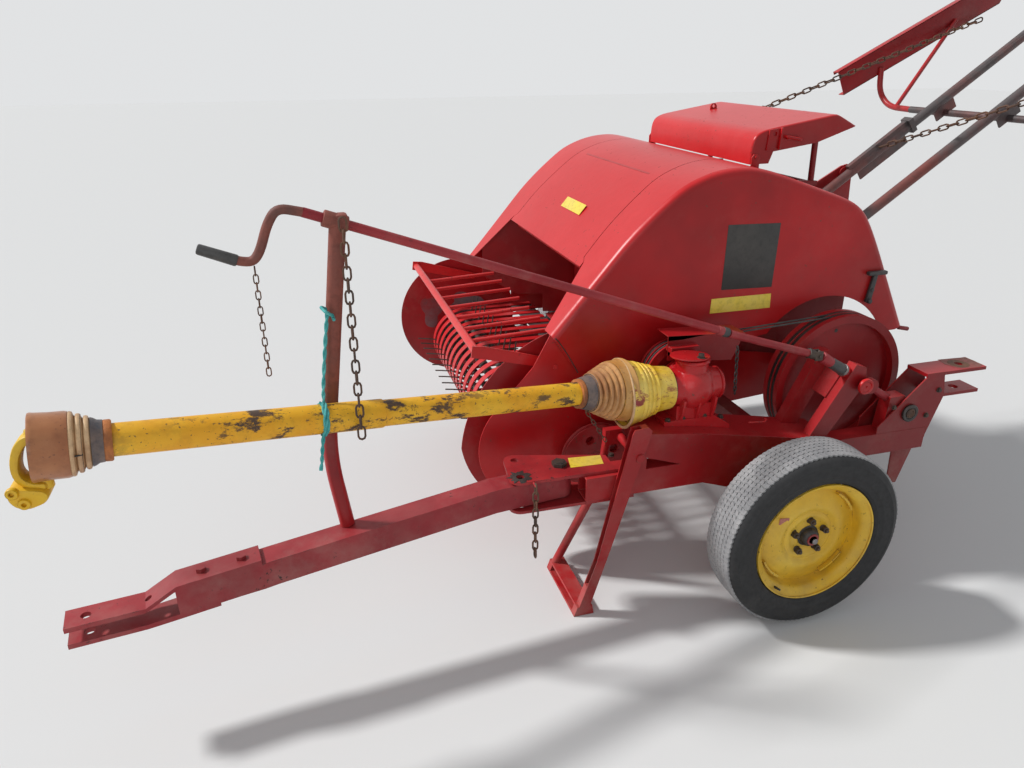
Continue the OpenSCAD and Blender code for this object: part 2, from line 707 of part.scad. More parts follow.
module belt_guard() {
  color(RED) placed() {
    side_plate(572, 575, [[-330, 790], [-333, 871], [-49, 856], [-90, 765], [-200, 775]]);
    side_plate(492, 575, [[-333, 871], [-49, 856], [-49, 859], [-333, 874]]);
    side_plate(560, 600, [[-330, 822], [-230, 816.3], [-230, 840], [-330, 840]]);
  }
}

// Uprights that hold the lift spindle
module spindle_bracket() {
  color(RED) placed() difference() {
    union() {
      side_plate(beam_x - 56, beam_x - 16, [[140, rail_z(140) + 0.3], [205, rail_z(205) + 0.3], [330, 700],
        [322, 752], [280, 768]]);
      side_plate(beam_x - 162, beam_x - 122, [[100, rail_z(100) + 0.3], [165, rail_z(165) + 0.3],
        [262, 740], [250, 785], [215, 780]]);
      side_plate(beam_x - 130, beam_x - 50, [[215, 640], [262, 720], [250, 726], [203, 646]]);
      cross_bar(beam_x - 16, beam_x + 6, 338, 690, 26);
      // Rear bracket of the spindle
      side_plate(beam_x - 60, beam_x - 10, [[430, beam_z + 0.3], [520, beam_z + 0.3], [500, 630],
        [440, 630]]);
    }
    side_plate(beam_x - 50, beam_x - 22, [[180, 460], [260, 460], [345, 700], [300, 730]]);
    bar([720, 152, 803], [720, 560, 550], 14);
  }
}

// Rod, universal joint and spindle behind the coupling
module lift_spindle() {
  color(RUST) placed() {
    bar([720, -168, 908], [720, 120, 814], 13);
    bar([720, 100, 822], [720, 182, 784], 24);
    bar([720, 152, 803], [720, 500, 587], 13.8);
  }
}

// Crank post on the drawbar
rod_a = [765, -1493, 1391];
rod_b = [720, -208, 923];

module crank_post() {
  color(RUST) placed() difference() {
    union() {
      bar([722, -1404, bar_foot_z], [722, -1436, 700], post_r);
      translate([722, -1436, 700]) sphere(r = post_r + 1);
      bar([722, -1436, 700], [760, -1354, post_z1 - 40], post_r - 0.4);
      bar(rod_a + (rod_b - rod_a) * 0.075, rod_a + (rod_b - rod_a) * 0.135, 24);
    }
    bar(rod_a, rod_b, 13 + pin_gap);
  }
}

bar_foot_z = 456.8;

module crank_rod() {
  color(RUST) placed() {
    bar(rod_a, rod_b, 13);
    translate(rod_a) sphere(r = 14);
    bar(rod_a, [760, -1560, 1262], 12.6);
    translate([760, -1560, 1262]) sphere(r = 14);
    bar([760, -1560, 1262], [760, -1685, 1298], 12.2);
    bar([760, -1590, 1270.6], [760, -1688, 1298.9], 16);
    // Coupling at the rear end
    bar(rod_b - (rod_b - rod_a) * 0.06, rod_b, 21);
  }
}

// Drawbar
module along_drawbar() {
  translate([pivot_x, pivot_y, 0]) rotate([0, 0, drawbar_out]) children();
}

knee = 235;
slope_l = 920;

// Outline of an ear of the hitch, as (y, z)
ear_up = [[-930, 447], [-1150, 428], [-1232, 383], [-bar_front, 383], [-bar_front, 369], [-1236, 369],
  [-1158, 412], [-930, 430]];
ear_low = [[-1050, 345], [-1156, 340], [-1236, 332], [-bar_front, 332], [-bar_front, 318], [-1236, 318],
  [-1160, 324], [-1050, 334]];

module drawbar() {
  color(RED) placed() along_drawbar() difference() {
    union() {
      translate([-drawbar_w / 2, -knee, bar_top - drawbar_h]) cube([drawbar_w, knee, drawbar_h]);
      translate([0, 0, bar_top - drawbar_h]) cylinder(r = drawbar_w / 2, h = drawbar_h);
      translate([0, 0, plate_low + 0.3]) cylinder(r = 34, h = beam_z - 0.1 - plate_low - 0.3);
      side_plate(-drawbar_w / 2, drawbar_w / 2,
        [[-knee + 1, bar_top], [-knee + 1, bar_top - drawbar_h], [-knee - slope_l, 334],
        [-knee - slope_l, 414]]);
      side_plate(-drawbar_w / 2, drawbar_w / 2, ear_up);
      side_plate(-drawbar_w / 2, drawbar_w / 2, ear_low);
      // Strip under the front half
      side_plate(-20, 20, [[-760, 372], [-1040, 350], [-1060, 330], [-930, 338], [-760, 360]]);
      // Bolts through the ears, and the plate of the post
      for (p = [[-980, 436], [-1085, 428]]) translate([0, p[0], p[1]]) cylinder(r = 14, h = 18, $fn = 6);
    }
    translate([0, 0, 300]) cylinder(r = pivot_pin_r + pin_gap, h = 300);
    translate([0, -drawbar_l, 300]) cylinder(r = hitch_hole_r, h = 100);
    translate([0, -drawbar_l + 150, 360]) cylinder(r = 9, h = 40);
    rotate([0, 0, lock_a - drawbar_out]) translate([0, -lock_r, 300]) cylinder(r = lock_hole_r, h = 300);
  }
}

module drawbar_pins() {
  color(BLACK) placed() {
    translate([pivot_x, pivot_y, jaw_z0 - 14])
      cylinder(r = pivot_pin_r, h = beam_z + plate_t + 14 - jaw_z0 + 14);
    translate([pivot_x, pivot_y, beam_z + plate_t + 0.4]) cylinder(r = 25, h = 12, $fn = 6);
    translate([pivot_x, pivot_y, jaw_z0 - 14]) cylinder(r = 25, h = 13.8, $fn = 6);
  }
}

// Chain of the lock pin, hung on an eye of the upper pivot plate
module lock_pin_chain() {
  color(RUST) placed() translate([757, lock_eye_y, beam_z + 10.9]) rotate([0, 0, 90])
    chain([0, 0, 0], [0, 0, -262], 9, 6, 22);
}

module post_chains() {
  color(RUST) placed() {
    chain([794, -1346, 1356], [866, -1350, 800], 19, 6, 24);
    chain([760, -1562, 1244.5], [760, -1562, 960], 14, 3.6, 15);
  }
}

// Parking stand
foot_y = -672;

module parking_stand() {
  color(RED) placed() {
    cross_bar(604, beam_x + 36, stand_y, stand_z, stand_shaft_r);
    // Outer leg, a channel that narrows towards the foot
    difference() {
      side_plate(beam_x + 3, beam_x + 31, [[-538, 650], [-532, 664], [-486, 668], [-474, 655], [-476, 640],
        [-604, 200], [-655, 30], [-693, 30],
        [-636, 200]]);
      side_plate(beam_x + 7, beam_x + 27, [[-560, 670], [-520, 680], [-486, 640], [-612, 200], [-640, 110],
        [-700, 110], [-656, 200]]);
    }
    // Inner leg, bent upwards beside the pivot plate
    bar([520, foot_y - 14, 22], [606, -560, 400], 15);
    bar([606, -560, 400], [617, -545, 590], 14.6);
    translate([606, -560, 400]) sphere(r = 16);
    side_plate(604, 630, [[-560, 538], [-494, 538], [-494, 592], [-560, 592]]);
    // Foot, an upturned channel between the legs
    difference() {
      side_plate(505, beam_x + 31, [[foot_y - 38, 0], [foot_y + 32, 0], [foot_y + 26, 34],
        [foot_y - 26, 34]]);
      side_plate(536, beam_x + 2, [[foot_y - 50, 6], [foot_y + 22, 6], [foot_y + 22, 28], [foot_y - 50, 28]]);
    }
  }
}

// Drive shaft with its guard, slung from the post
shaft_r0 = [gear_x, -505, 742];
shaft_f0 = [940, -2070, 920];
function on_shaft(t) = shaft_r0 + (shaft_f0 - shaft_r0) * t;

module along_shaft(t) {
  d = shaft_f0 - shaft_r0;
  translate(on_shaft(t)) rotate([0, acos(d[2] / norm(d)), atan2(d[1], d[0])]) children();
}

module shaft_guard() {
  color(YELLOW) placed() {
    bar(on_shaft(0.072), on_shaft(0.55), 36);
    bar(on_shaft(0.5), on_shaft(0.94), 39);
  }
}

module shaft_cones() {
  color(YELLOW) placed() {
    // Cone on the gearbox
    difference() {
      translate([gear_x, gear_y - 80, gear_z + 2]) rotate([90, 0, 0]) cylinder(r1 = 66, r2 = 112, h = 168);
      translate([gear_x, gear_y - 93, gear_z + 2]) rotate([90, 0, 0]) cylinder(r1 = 61, r2 = 109, h = 160);
      translate([gear_x, gear_y - 60, gear_z]) rotate([90, 0, 0]) cylinder(r = 55, h = 60);
      side_plate(540, 760, [[-540, 560], [-540, 636.5], [-505, 632.5], [-430, 623], [-430, 560]]);
    }
    // Rear and front shaft cones
    difference() {
      along_shaft(0.015) cylinder(r1 = 98, r2 = 46, h = 120);
      along_shaft(0.012) cylinder(r1 = 94, r2 = 37, h = 108);
      along_shaft(0) cylinder(r = 36.3, h = 300);
    }
    difference() {
      along_shaft(0.935) cylinder(r1 = 47, r2 = 74, h = 110);
      along_shaft(0.945) cylinder(r1 = 36, r2 = 69, h = 110);
      along_shaft(0.9) cylinder(r = 39.3, h = 70);
    }
  }
}

module shaft_yoke() {
  color(YELLOW) placed() {
    along_shaft(0.947) cylinder(r = 24, h = 64);
    // Inner fork and cross, inside the guard's bell
    along_shaft(0.98) difference() {
      cylinder(r = 42, h = 56);
      translate([-60, -24, 14]) cube([120, 48, 60]);
    }
    translate([943, -2084, 921]) sphere(r = 15);
    translate([901, -2084, 921]) rotate([0, 90, 0]) cylinder(r = 9, h = 84);
    translate([943, -2084, 881]) cylinder(r = 9, h = 80);
    // Outer fork that hangs from the cross, with its clamp
    difference() {
      translate([943, -2084, 921]) rotate([165, 0, 0]) {
        intersection() {
          difference() {
            translate([0, 0, -16]) cylinder(r = 46, h = 96);
            translate([-32, -60, -30]) cube([64, 120, 92]);
          }
          translate([-60, -19, -30]) cube([120, 38, 200]);
        }
        translate([0, 0, 72]) difference() {
          union() {
            cylinder(r = 35, h = 60);
            for (a = [0, 180]) rotate([0, 0, a]) translate([10, 22, 20]) rotate([0, 90, 0])
              cylinder(r = 16, h = 34);
          }
          translate([0, 0, 10]) cylinder(r = 17.5, h = 80);
        }
      }
      along_shaft(0.93) cylinder(r1 = 48, r2 = 76, h = 119);
    }
    bar([gear_x, gear_y - 62, gear_z], [gear_x, gear_y - 130, gear_z], 18);
    bar([gear_x, gear_y - 130, gear_z], on_shaft(0.069), 26);
  }
}

sling_t = 0.6;

module sling_rope() {
  color([0.1, 0.5, 0.5]) placed() {
    along_shaft(sling_t) difference() {
      cylinder(r = 48, h = 16);
      translate([0, 0, -1]) cylinder(r = 39.3, h = 18);
    }
    bar(on_shaft(sling_t) + [-20, 0, 44], [772, -1400, 1120], 5);
  }
}

// Wheels: section of the rim, as (radius, offset towards the outside)
module rim(s) {
  translate([s * tyre_x, 0, axle_z()]) rotate([0, s * 90, 0]) difference() {
    union() {
      rotate_extrude($fn = 64) polygon([[stub_r + pin_gap, -32], [44, -32], [44, 14], [58, 20], [120, 34],
        [150, 20], [176, 12],
        [176, -58], [200, -66], [rim_r, -70], [rim_r, -66], [202, -61], [180, -54], [180, 52], [196, 62],
          [rim_r, 68], [rim_r, 72],
        [194, 67], [176, 56], [176, 18], [152, 26], [122, 40], [56, 26], [42, 20], [42, 56], [30, 58],
          [stub_r + pin_gap, 58]]);
      for (a = [0:72:288]) rotate([0, 0, a]) translate([stud_pcd_r + 12, 0, 22])
        cylinder(r = 11, h = 20, $fn = 6);
    }
  }
}

module tyre(s) {
  translate([s * tyre_x, 0, axle_z()]) rotate([0, s * 90, 0])
    rotate_extrude($fn = 64) polygon([[rim_r + run_gap, -66], [rim_r + run_gap, 66], [240, 80],
      [262, tyre_w / 2], [280, 78],
      [296, 68], [tyre_r - 2, 48], [tyre_r, 20], [tyre_r, -20], [tyre_r - 2, -48], [296, -68], [280, -78],
        [262, -tyre_w / 2], [240, -80]]);
}

module left_rim() {
  color(YELLOW) placed() rim(1);
}

module right_rim() {
  color(YELLOW) placed() rim(-1);
}

module left_tyre() {
  color(BLACK) placed() tyre(1);
}

module right_tyre() {
  color(BLACK) placed() tyre(-1);
}

// Hitch for a wagon behind the left beam
module wagon_hitch() {
  color(RED) placed() difference() {
    union() {
      for (x = [beam_x - 6, beam_x - 95])
        side_plate(x, x + 6, [[400, beam_z - 40], [400, beam_z + 26], [576, 700], [640, 700], [657, 617],
          [612, beam_z - 30], [612, beam_z - 40]]);
      translate([beam_x - 95, 566, 694]) cube([95, 250, 12]);
      translate([beam_x - 90, 630, 608]) cube([84, 180, 12]);
    }
    translate([beam_x - beam_w - 0.3, 0, beam_z - 60]) cube([beam_w + 1, beam_y1 + 0.3, 60.3]);
    translate([beam_x - 48, 740, 500]) cylinder(r = hitch_pin_r, h = 300);
  }
}

hitch_pin_r = 16;

// Pick-up
lift_y = -530;
lift_z = 420;
lift_shaft_r = 20;
guard_y = -668;
guard_z = 752;
band_x0 = -708;
band_n = 16;
band_w = 34;

module pickup_frame() {
  color(RED) placed() difference() {
    union() {
      // Right and left side shields
      translate([-784, -733, 561]) rotate([0, 90, 0]) cylinder(r = 274, h = 4);
      intersection() {
        translate([372, -640, 513]) rotate([0, 90, 0]) cylinder(r = 348, h = 4);
        translate([372, lift_y, lift_z]) rotate([0, 90, 0]) cylinder(r = 456, h = 4);
      }
      // Shield's lower part reaches the lift shaft
      side_plate(-784, -780, [[-800, 300], [-560, 372], [-480, 372], [-440, 470], [-560, 560]]);
      cross_bar(-784, 376, -462, 322, 22);
      side_plate(-784, -780, [[-800, 330], [-440, 296], [-436, 340], [-500, 430], [-700, 520]]);
      cross_bar(372, 492, lift_y, lift_z, lift_shaft_r);
      cross_bar(-784, -736, lift_y, lift_z, lift_shaft_r);
      // Bearings of the reel
      cross_bar(340, 373, reel_y, reel_z, 44);
      cross_bar(-781, -744, reel_y, reel_z, 44);
    }
    cross_bar(-781, 373, reel_y, reel_z, 20 + pin_gap);
  }
}

module band() {
  difference() {
    union() {
      translate([reel_y, reel_z]) circle(r = band_r + 15);
      translate([reel_y, reel_z]) square([320, band_r + 15]);
      polygon([[reel_y, reel_z - band_r - 15], [reel_y, reel_z], [reel_y + 235.7, reel_z], [-484.3, 320]]);
    }
    translate([reel_y, reel_z]) circle(r = band_r + 11);
    translate([reel_y, reel_z - 60]) square([325, band_r + 71]);
    polygon([[reel_y, reel_z - band_r - 11], [reel_y, reel_z + 5], [reel_y + 300, reel_z + 5], [-470, 325]]);
  }
}

module stripper_bands() {
  color(RED) placed() {
    for (i = [0:band_n - 1]) translate([band_x0 + i * band_pitch, 0, 0])
      rotate([90, 0, 90]) linear_extrude(band_w) band();
  }
}

module tine_reel() {
  color(STEEL) placed() {
    cross_bar(-776, 370, reel_y, reel_z, 20);
    for (a = [0:360 / tine_bars:359]) translate([0, reel_y, reel_z]) rotate([a, 0, 0]) {
      cross_bar(-735, 335, 0, 96, 12);
      for (i = [0:band_n - 2]) translate([band_x0 + i * band_pitch + band_w + (band_pitch - band_w) / 2 - 3,
        0, 0])
        rotate([90, 0, 90]) linear_extrude(6) polygon([[-4, 90], [2, 90], [30, 160], [42, tine_r - 2],
          [35, tine_r], [22, 162]]);
    }
    for (x = [-734, 326]) translate([x, reel_y, reel_z]) rotate([0, 90, 0]) cylinder(r = 112, h = 8);
  }
}

module pickup_pulley() {
  color(RED) placed() translate([480, lift_y, lift_z]) rotate([0, 90, 0]) difference() {
    cylinder(r = 122, h = 24, center = true);
    rotate_extrude() polygon([[112, -3], [123, -8], [123, 8], [112, 3]]);
    cylinder(r = 20.3, h = 40, center = true);
    for (a = [20:90:290]) rotate([0, 0, a]) translate([70, 0, 0]) cylinder(r = 16, h = 40, center = true);
  }
}

module wind_guard() {
  color(RED) placed() {
    cross_bar(-772, 391, -925, 815, 14);
    for (i = [0:6]) bar([-497 + i * 129, -925, 815], [-497 + i * 129, -630, 830], 7);
    for (x = [385, -772]) side_plate(x, x + 6,
      [[-945, 800], [-940, 838], [-900, 834], [-652, 762], [-652, 738], [-690, 736]]);
    cross_bar(385, 438, guard_y, guard_z, 8);
    cross_bar(-772, -734, guard_y, guard_z, 8);
  }
}

left_beam();
pivot_plates();
axle_beam();
cross_members();
bale_chamber();
feed_walls();
hood_left();
hood_right();
hood_centre();
knotter_table();
knotter_cover();
chute_brackets();
chute_rails();
chute_guides();
stay_chains();
gearbox();
drive_pulley();
flywheel();
drive_belts();
belt_guard();
spindle_bracket();
lift_spindle();
crank_post();
crank_rod();
drawbar();
drawbar_pins();
lock_pin_chain();
post_chains();
parking_stand();
shaft_guard();
shaft_cones();
shaft_yoke();
sling_rope();
left_rim();
left_tyre();
right_rim();
right_tyre();
wagon_hitch();
pickup_frame();
stripper_bands();
tine_reel();
pickup_pulley();
wind_guard();
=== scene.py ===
"""Dressed model of a trailed small-bale press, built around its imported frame."""

import logging
import math
from dataclasses import dataclass, field
from enum import Enum
from typing import Iterable, Sequence

import bpy
from mathutils import Matrix, Vector

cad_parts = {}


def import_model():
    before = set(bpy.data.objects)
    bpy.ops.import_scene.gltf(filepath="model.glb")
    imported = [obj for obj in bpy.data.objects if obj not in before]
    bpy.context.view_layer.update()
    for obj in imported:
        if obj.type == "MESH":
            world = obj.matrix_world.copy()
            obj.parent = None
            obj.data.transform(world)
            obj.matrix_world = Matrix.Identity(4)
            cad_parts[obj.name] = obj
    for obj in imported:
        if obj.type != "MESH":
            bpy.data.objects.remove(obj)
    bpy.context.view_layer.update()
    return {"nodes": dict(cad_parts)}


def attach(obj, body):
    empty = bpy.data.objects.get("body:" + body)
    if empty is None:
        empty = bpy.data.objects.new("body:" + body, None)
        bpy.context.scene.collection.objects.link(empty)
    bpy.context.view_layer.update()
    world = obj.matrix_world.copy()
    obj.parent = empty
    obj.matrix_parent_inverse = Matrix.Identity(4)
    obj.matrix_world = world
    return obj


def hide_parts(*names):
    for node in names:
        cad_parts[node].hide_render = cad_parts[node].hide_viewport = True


LOG = logging.getLogger("press")
Point = tuple[float, float, float]
Colour = tuple[float, float, float]
Pair = tuple[float, float]
Profile = Sequence[Pair]
Piece = bpy.types.Object
Socket = bpy.types.NodeSocket

LEFT = Vector((1.0, 0.0, 0.0))
UP = Vector((0.0, 0.0, 1.0))

MID_Y = 0.23694
"""Distance in metres from the wheel axle to the row's origin, along the machine."""

CLOSE = 1e-4
"""Distance in metres under which two places count as one."""


def place(x: float, y: float, z: float) -> Vector:
    """Turns millimetres with y measured from the axle into a point of the row frame."""
    return Vector((x / 1000.0, y / 1000.0 - MID_Y, z / 1000.0))


def ordered(a: float, b: float) -> Pair:
    """Gives two numbers with the smaller one first."""
    return min(a, b), max(a, b)


class Body(Enum):
    """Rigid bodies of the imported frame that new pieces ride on."""

    CHASSIS = "chassis"
    LEFT_WHEEL = "left_wheel"
    RIGHT_WHEEL = "right_wheel"
    DRAWBAR = "drawbar_body"
    FLYWHEEL = "flywheel_body"
    PICKUP = "pickup_body"
    REEL = "reel_body"
    COVER = "knotter_cover_body"
    CHUTE = "chute_body"


class Slot(Enum):
    """Material slots that are passed along with each piece."""

    RED = "red_paint"
    DARK_RED = "dark_red_paint"
    YELLOW = "yellow_paint"
    TYRE = "tyre_rubber"
    BELT = "belt_rubber"
    STEEL = "worn_steel"
    RUST = "rusty_steel"
    GUARD = "guard_plastic"
    TINE = "tine_steel"
    ROPE = "rope_fibre"


class NodeCanvas:
    """Short hand for laying shader nodes on one material."""

    def __init__(self, name: str) -> None:
        """Starts an empty node tree.

        Args:
            name: Name of the material.
        """
        self.material = bpy.data.materials.new(name)
        self.material.use_nodes = True
        self.tree = self.material.node_tree
        self.tree.nodes.clear()
        self.out = self.tree.nodes.new("ShaderNodeOutputMaterial")
        self.shader = self.tree.nodes.new("ShaderNodeBsdfPrincipled")
        self.tree.links.new(self.shader.outputs["BSDF"], self.out.inputs["Surface"])
        self.coords = self.tree.nodes.new("ShaderNodeTexCoord")

    def link(self, source: Socket, target: Socket) -> None:
        """Joins two sockets."""
        self.tree.links.new(source, target)

    def noise(self, scale: float, detail: float = 4.0, rough: float = 0.55, seed: float = 0.0,
              stretch: Point = (1.0, 1.0, 1.0)) -> Socket:
        """Adds a noise texture on Object coordinates.

        Args:
            scale: Features per metre.
            detail: Octaves.
            rough: Strength of the finer octaves.
            seed: Offset that makes one pattern differ from the next.
            stretch: Scale on each axis.

        Returns:
            The socket with the noise value.
        """
        mapping = self.tree.nodes.new("ShaderNodeMapping")
        mapping.inputs["Location"].default_value = (seed, seed * 0.7, seed * 1.3)
        mapping.inputs["Scale"].default_value = stretch
        self.link(self.coords.outputs["Object"], mapping.inputs["Vector"])
        tex = self.tree.nodes.new("ShaderNodeTexNoise")
        tex.inputs["Scale"].default_value = scale
        tex.inputs["Detail"].default_value = detail
        tex.inputs["Roughness"].default_value = rough
        self.link(mapping.outputs["Vector"], tex.inputs["Vector"])
        return tex.outputs["Fac"]

    def span(self, value: Socket, low: float, high: float) -> Socket:
        """Maps a value so that low becomes 0 and high becomes 1, clamped.

        Args:
            value: Value to map.
            low: Value that becomes 0.
            high: Value that becomes 1.

        Returns:
            The socket with the share.
        """
        node = self.tree.nodes.new("ShaderNodeMapRange")
        node.inputs["From Min"].default_value = low
        node.inputs["From Max"].default_value = high
        self.link(value, node.inputs["Value"])
        return node.outputs["Result"]

    def math(self, kind: str, a: Socket, b: Socket | float) -> Socket:
        """Adds one Math node.

        Args:
            kind: Operation, such as MULTIPLY.
            a: First value.
            b: Second value, a socket or a number.

        Returns:
            The socket with the result, clamped.
        """
        node = self.tree.nodes.new("ShaderNodeMath")
        node.operation = kind
        node.use_clamp = True
        self.link(a, node.inputs[0])
        if isinstance(b, (int, float)):
            node.inputs[1].default_value = b
        else:
            self.link(b, node.inputs[1])
        return node.outputs["Value"]

    def mix(self, factor: Socket, first: Socket | Colour, second: Socket | Colour) -> Socket:
        """Mixes two colours by a factor.

        Args:
            factor: Share of the second colour.
            first: Colour or socket.
            second: Colour or socket.

        Returns:
            The socket with the mixed colour.
        """
        node = self.tree.nodes.new("ShaderNodeMix")
        node.data_type = "RGBA"
        self.link(factor, node.inputs[0])
        for socket, value in ((node.inputs[6], first), (node.inputs[7], second)):
            if isinstance(value, tuple):
                socket.default_value = (*value, 1.0)
            else:
                self.link(value, socket)
        return node.outputs[2]

    def height(self) -> Socket:
        """Gives the height above the floor on the piece's own coordinates.

        Returns:
            The socket with the height in metres.
        """
        node = self.tree.nodes.new("ShaderNodeSeparateXYZ")
        self.link(self.coords.outputs["Object"], node.inputs["Vector"])
        return node.outputs["Z"]

    def facing(self, axis: str) -> Socket:
        """Gives one part of the surface normal on the piece's own axes.

        Args:
            axis: Letter of the axis, such as X.

        Returns:
            The socket with that part of the normal.
        """
        node = self.tree.nodes.new("ShaderNodeSeparateXYZ")
        self.link(self.coords.outputs["Normal"], node.inputs["Vector"])
        return node.outputs[axis]

    def edges(self, radius: float) -> Socket:
        """Gives a value that is 1 on sharp edges and 0 on flat faces.

        Args:
            radius: Width of the worn edge in metres.

        Returns:
            The socket with the edge value.
        """
        bevel = self.tree.nodes.new("ShaderNodeBevel")
        bevel.samples = 4
        bevel.inputs["Radius"].default_value = radius
        geometry = self.tree.nodes.new("ShaderNodeNewGeometry")
        dot = self.tree.nodes.new("ShaderNodeVectorMath")
        dot.operation = "DOT_PRODUCT"
        self.link(bevel.outputs["Normal"], dot.inputs[0])
        self.link(geometry.outputs["Normal"], dot.inputs[1])
        return self.span(dot.outputs["Value"], 0.985, 0.90)

    def bump(self, value: Socket, distance: float, strength: float = 1.0) -> None:
        """Feeds a height into the shader's normal.

        Args:
            value: Height from 0 to 1.
            distance: Real height in metres.
            strength: Share of the effect.
        """
        node = self.tree.nodes.new("ShaderNodeBump")
        node.inputs["Distance"].default_value = distance
        node.inputs["Strength"].default_value = strength
        self.link(value, node.inputs["Height"])
        self.link(node.outputs["Normal"], self.shader.inputs["Normal"])


@dataclass(frozen=True)
class PaintFinish:
    """Old paint on steel: faded patches, chipped edges, rust and dust, and, where a side colour is given,
    painted shade on faces turned towards +X.
    """

    name: str
    base: Colour
    faded: Colour
    chip: Colour = (0.10, 0.045, 0.03)
    gloss: float = 0.38
    wear: float = 0.5
    dirt: float = 0.3
    # Colour of painted shade for faces turned towards +X, or None for no painted shade.
    side: Colour | None = None
    dust: Colour = (0.36, 0.31, 0.26)
    patch: float = 1.6

    def make(self) -> bpy.types.Material:
        """Builds the material.

        Returns:
            The finished material.
        """
        c = NodeCanvas(self.name)
        fade = c.span(c.noise(self.patch, 5.0, 0.6), 0.38, 0.66)
        colour = c.mix(fade, self.base, self.faded)
        # Painted shade: faces whose normal points towards +X take the darker side colour.
        if self.side is not None:
            turned = c.span(c.facing("X"), 0.55, 0.9)
            colour = c.mix(turned, colour, c.mix(fade, self.side, self.base))
        fine = c.span(c.noise(38.0, 7.0, 0.7, 3.1), 0.35, 0.75)
        colour = c.mix(c.math("MULTIPLY", fine, 0.16), colour, tuple(0.55 * v for v in self.base))
        film = c.math("MULTIPLY", c.span(c.noise(5.0, 8.0, 0.72, 7.7), 0.50, 0.74), self.dirt)
        colour = c.mix(film, colour, self.dust)
        low = c.math("MULTIPLY", c.span(c.height(), 0.55, 0.05),
                     c.span(c.noise(11.0, 6.0, 0.6, 2.2), 0.40, 0.62))
        colour = c.mix(c.math("MULTIPLY", low, self.dirt * 1.6), colour, self.dust)
        spots = c.span(c.noise(70.0, 5.0, 0.62, 5.5), 0.665 - 0.05 * self.wear, 0.70 - 0.05 * self.wear)
        region = c.span(c.noise(3.4, 4.0, 0.6, 9.1), 0.45, 0.62)
        edge = c.math("MULTIPLY", c.edges(0.004), c.span(c.noise(16.0, 6.0, 0.65, 4.4),
                0.60 - 0.2 * self.wear, 0.66))
        chips = c.math("MAXIMUM", c.math("MULTIPLY", spots, region), edge)
        colour = c.mix(chips, colour, self.chip)
        c.link(colour, c.shader.inputs["Base Color"])
        rough = c.tree.nodes.new("ShaderNodeMapRange")
        rough.inputs["To Min"].default_value = self.gloss
        rough.inputs["To Max"].default_value = min(0.95, self.gloss + 0.35)
        c.link(c.math("MAXIMUM", film, chips), rough.inputs["Value"])
        c.link(rough.outputs["Result"], c.shader.inputs["Roughness"])
        c.shader.inputs["Specular IOR Level"].default_value = 0.36
        c.bump(c.math("SUBTRACT", c.noise(24.0, 5.0, 0.6, 1.2), c.math("MULTIPLY", chips, 0.5)), 0.0012,
               0.5)
        return c.material


@dataclass(frozen=True)
class RawFinish:
    """Bare or rusty metal, rubber, plastic or fibre with two colours and grain."""

    name: str
    base: Colour
    other: Colour
    rough: float = 0.6
    metal: float = 0.0
    grain: float = 30.0
    spread: Pair = (0.42, 0.62)
    relief: float = 0.001

    def make(self) -> bpy.types.Material:
        """Builds the material.

        Returns:
            The finished material.
        """
        c = NodeCanvas(self.name)
        blot = c.span(c.noise(self.grain * 0.25, 6.0, 0.65), *self.spread)
        colour = c.mix(blot, self.base, self.other)
        fine = c.noise(self.grain * 3.0, 6.0, 0.65, 6.3)
        dark = tuple(0.45 * v for v in self.base)
        colour = c.mix(c.math("MULTIPLY", c.span(fine, 0.48, 0.70), 0.45), colour, dark)
        c.link(colour, c.shader.inputs["Base Color"])
        c.shader.inputs["Metallic"].default_value = self.metal
        rough = c.tree.nodes.new("ShaderNodeMapRange")
        rough.inputs["To Min"].default_value = max(0.1, self.rough - 0.12)
        rough.inputs["To Max"].default_value = min(0.98, self.rough + 0.15)
        c.link(fine, rough.inputs["Value"])
        c.link(rough.outputs["Result"], c.shader.inputs["Roughness"])
        c.bump(fine, self.relief, 0.6)
        return c.material


@dataclass(frozen=True)
class StainedFinish:
    """Plastic guard that is stained and scuffed through in patches."""

    name: str
    base: Colour
    pale: Colour
    stain: Colour
    amount: float = 0.5
    rough: float = 0.55
    grain: float = 14.0

    def make(self) -> bpy.types.Material:
        """Builds the material.

        Returns:
            The finished material.
        """
        c = NodeCanvas(self.name)
        colour = c.mix(c.span(c.noise(6.0, 5.0, 0.6, 1.0), 0.40, 0.65), self.base, self.pale)
        cut = 0.60 - 0.16 * self.amount
        blot = c.span(c.noise(self.grain, 9.0, 0.74, 3.3, (1.0, 0.45, 1.0)), cut, cut + 0.05)
        area = c.span(c.noise(2.6, 3.0, 0.5, 8.2), 0.40, 0.56)
        stain = c.math("MULTIPLY", blot, area)
        specks = c.span(c.noise(120.0, 3.0, 0.5, 5.9), 0.66, 0.70)
        mark = c.math("MAXIMUM", stain, c.math("MULTIPLY", specks, 0.8))
        colour = c.mix(mark, colour, self.stain)
        grime = c.math("MULTIPLY", c.span(c.noise(30.0, 8.0, 0.7, 2.4), 0.5, 0.75), 0.45)
        colour = c.mix(grime, colour, tuple(0.5 * v for v in self.base))
        c.link(colour, c.shader.inputs["Base Color"])
        c.shader.inputs["Roughness"].default_value = self.rough
        c.bump(c.noise(60.0, 6.0, 0.6, 4.1), 0.0008, 0.5)
        return c.material


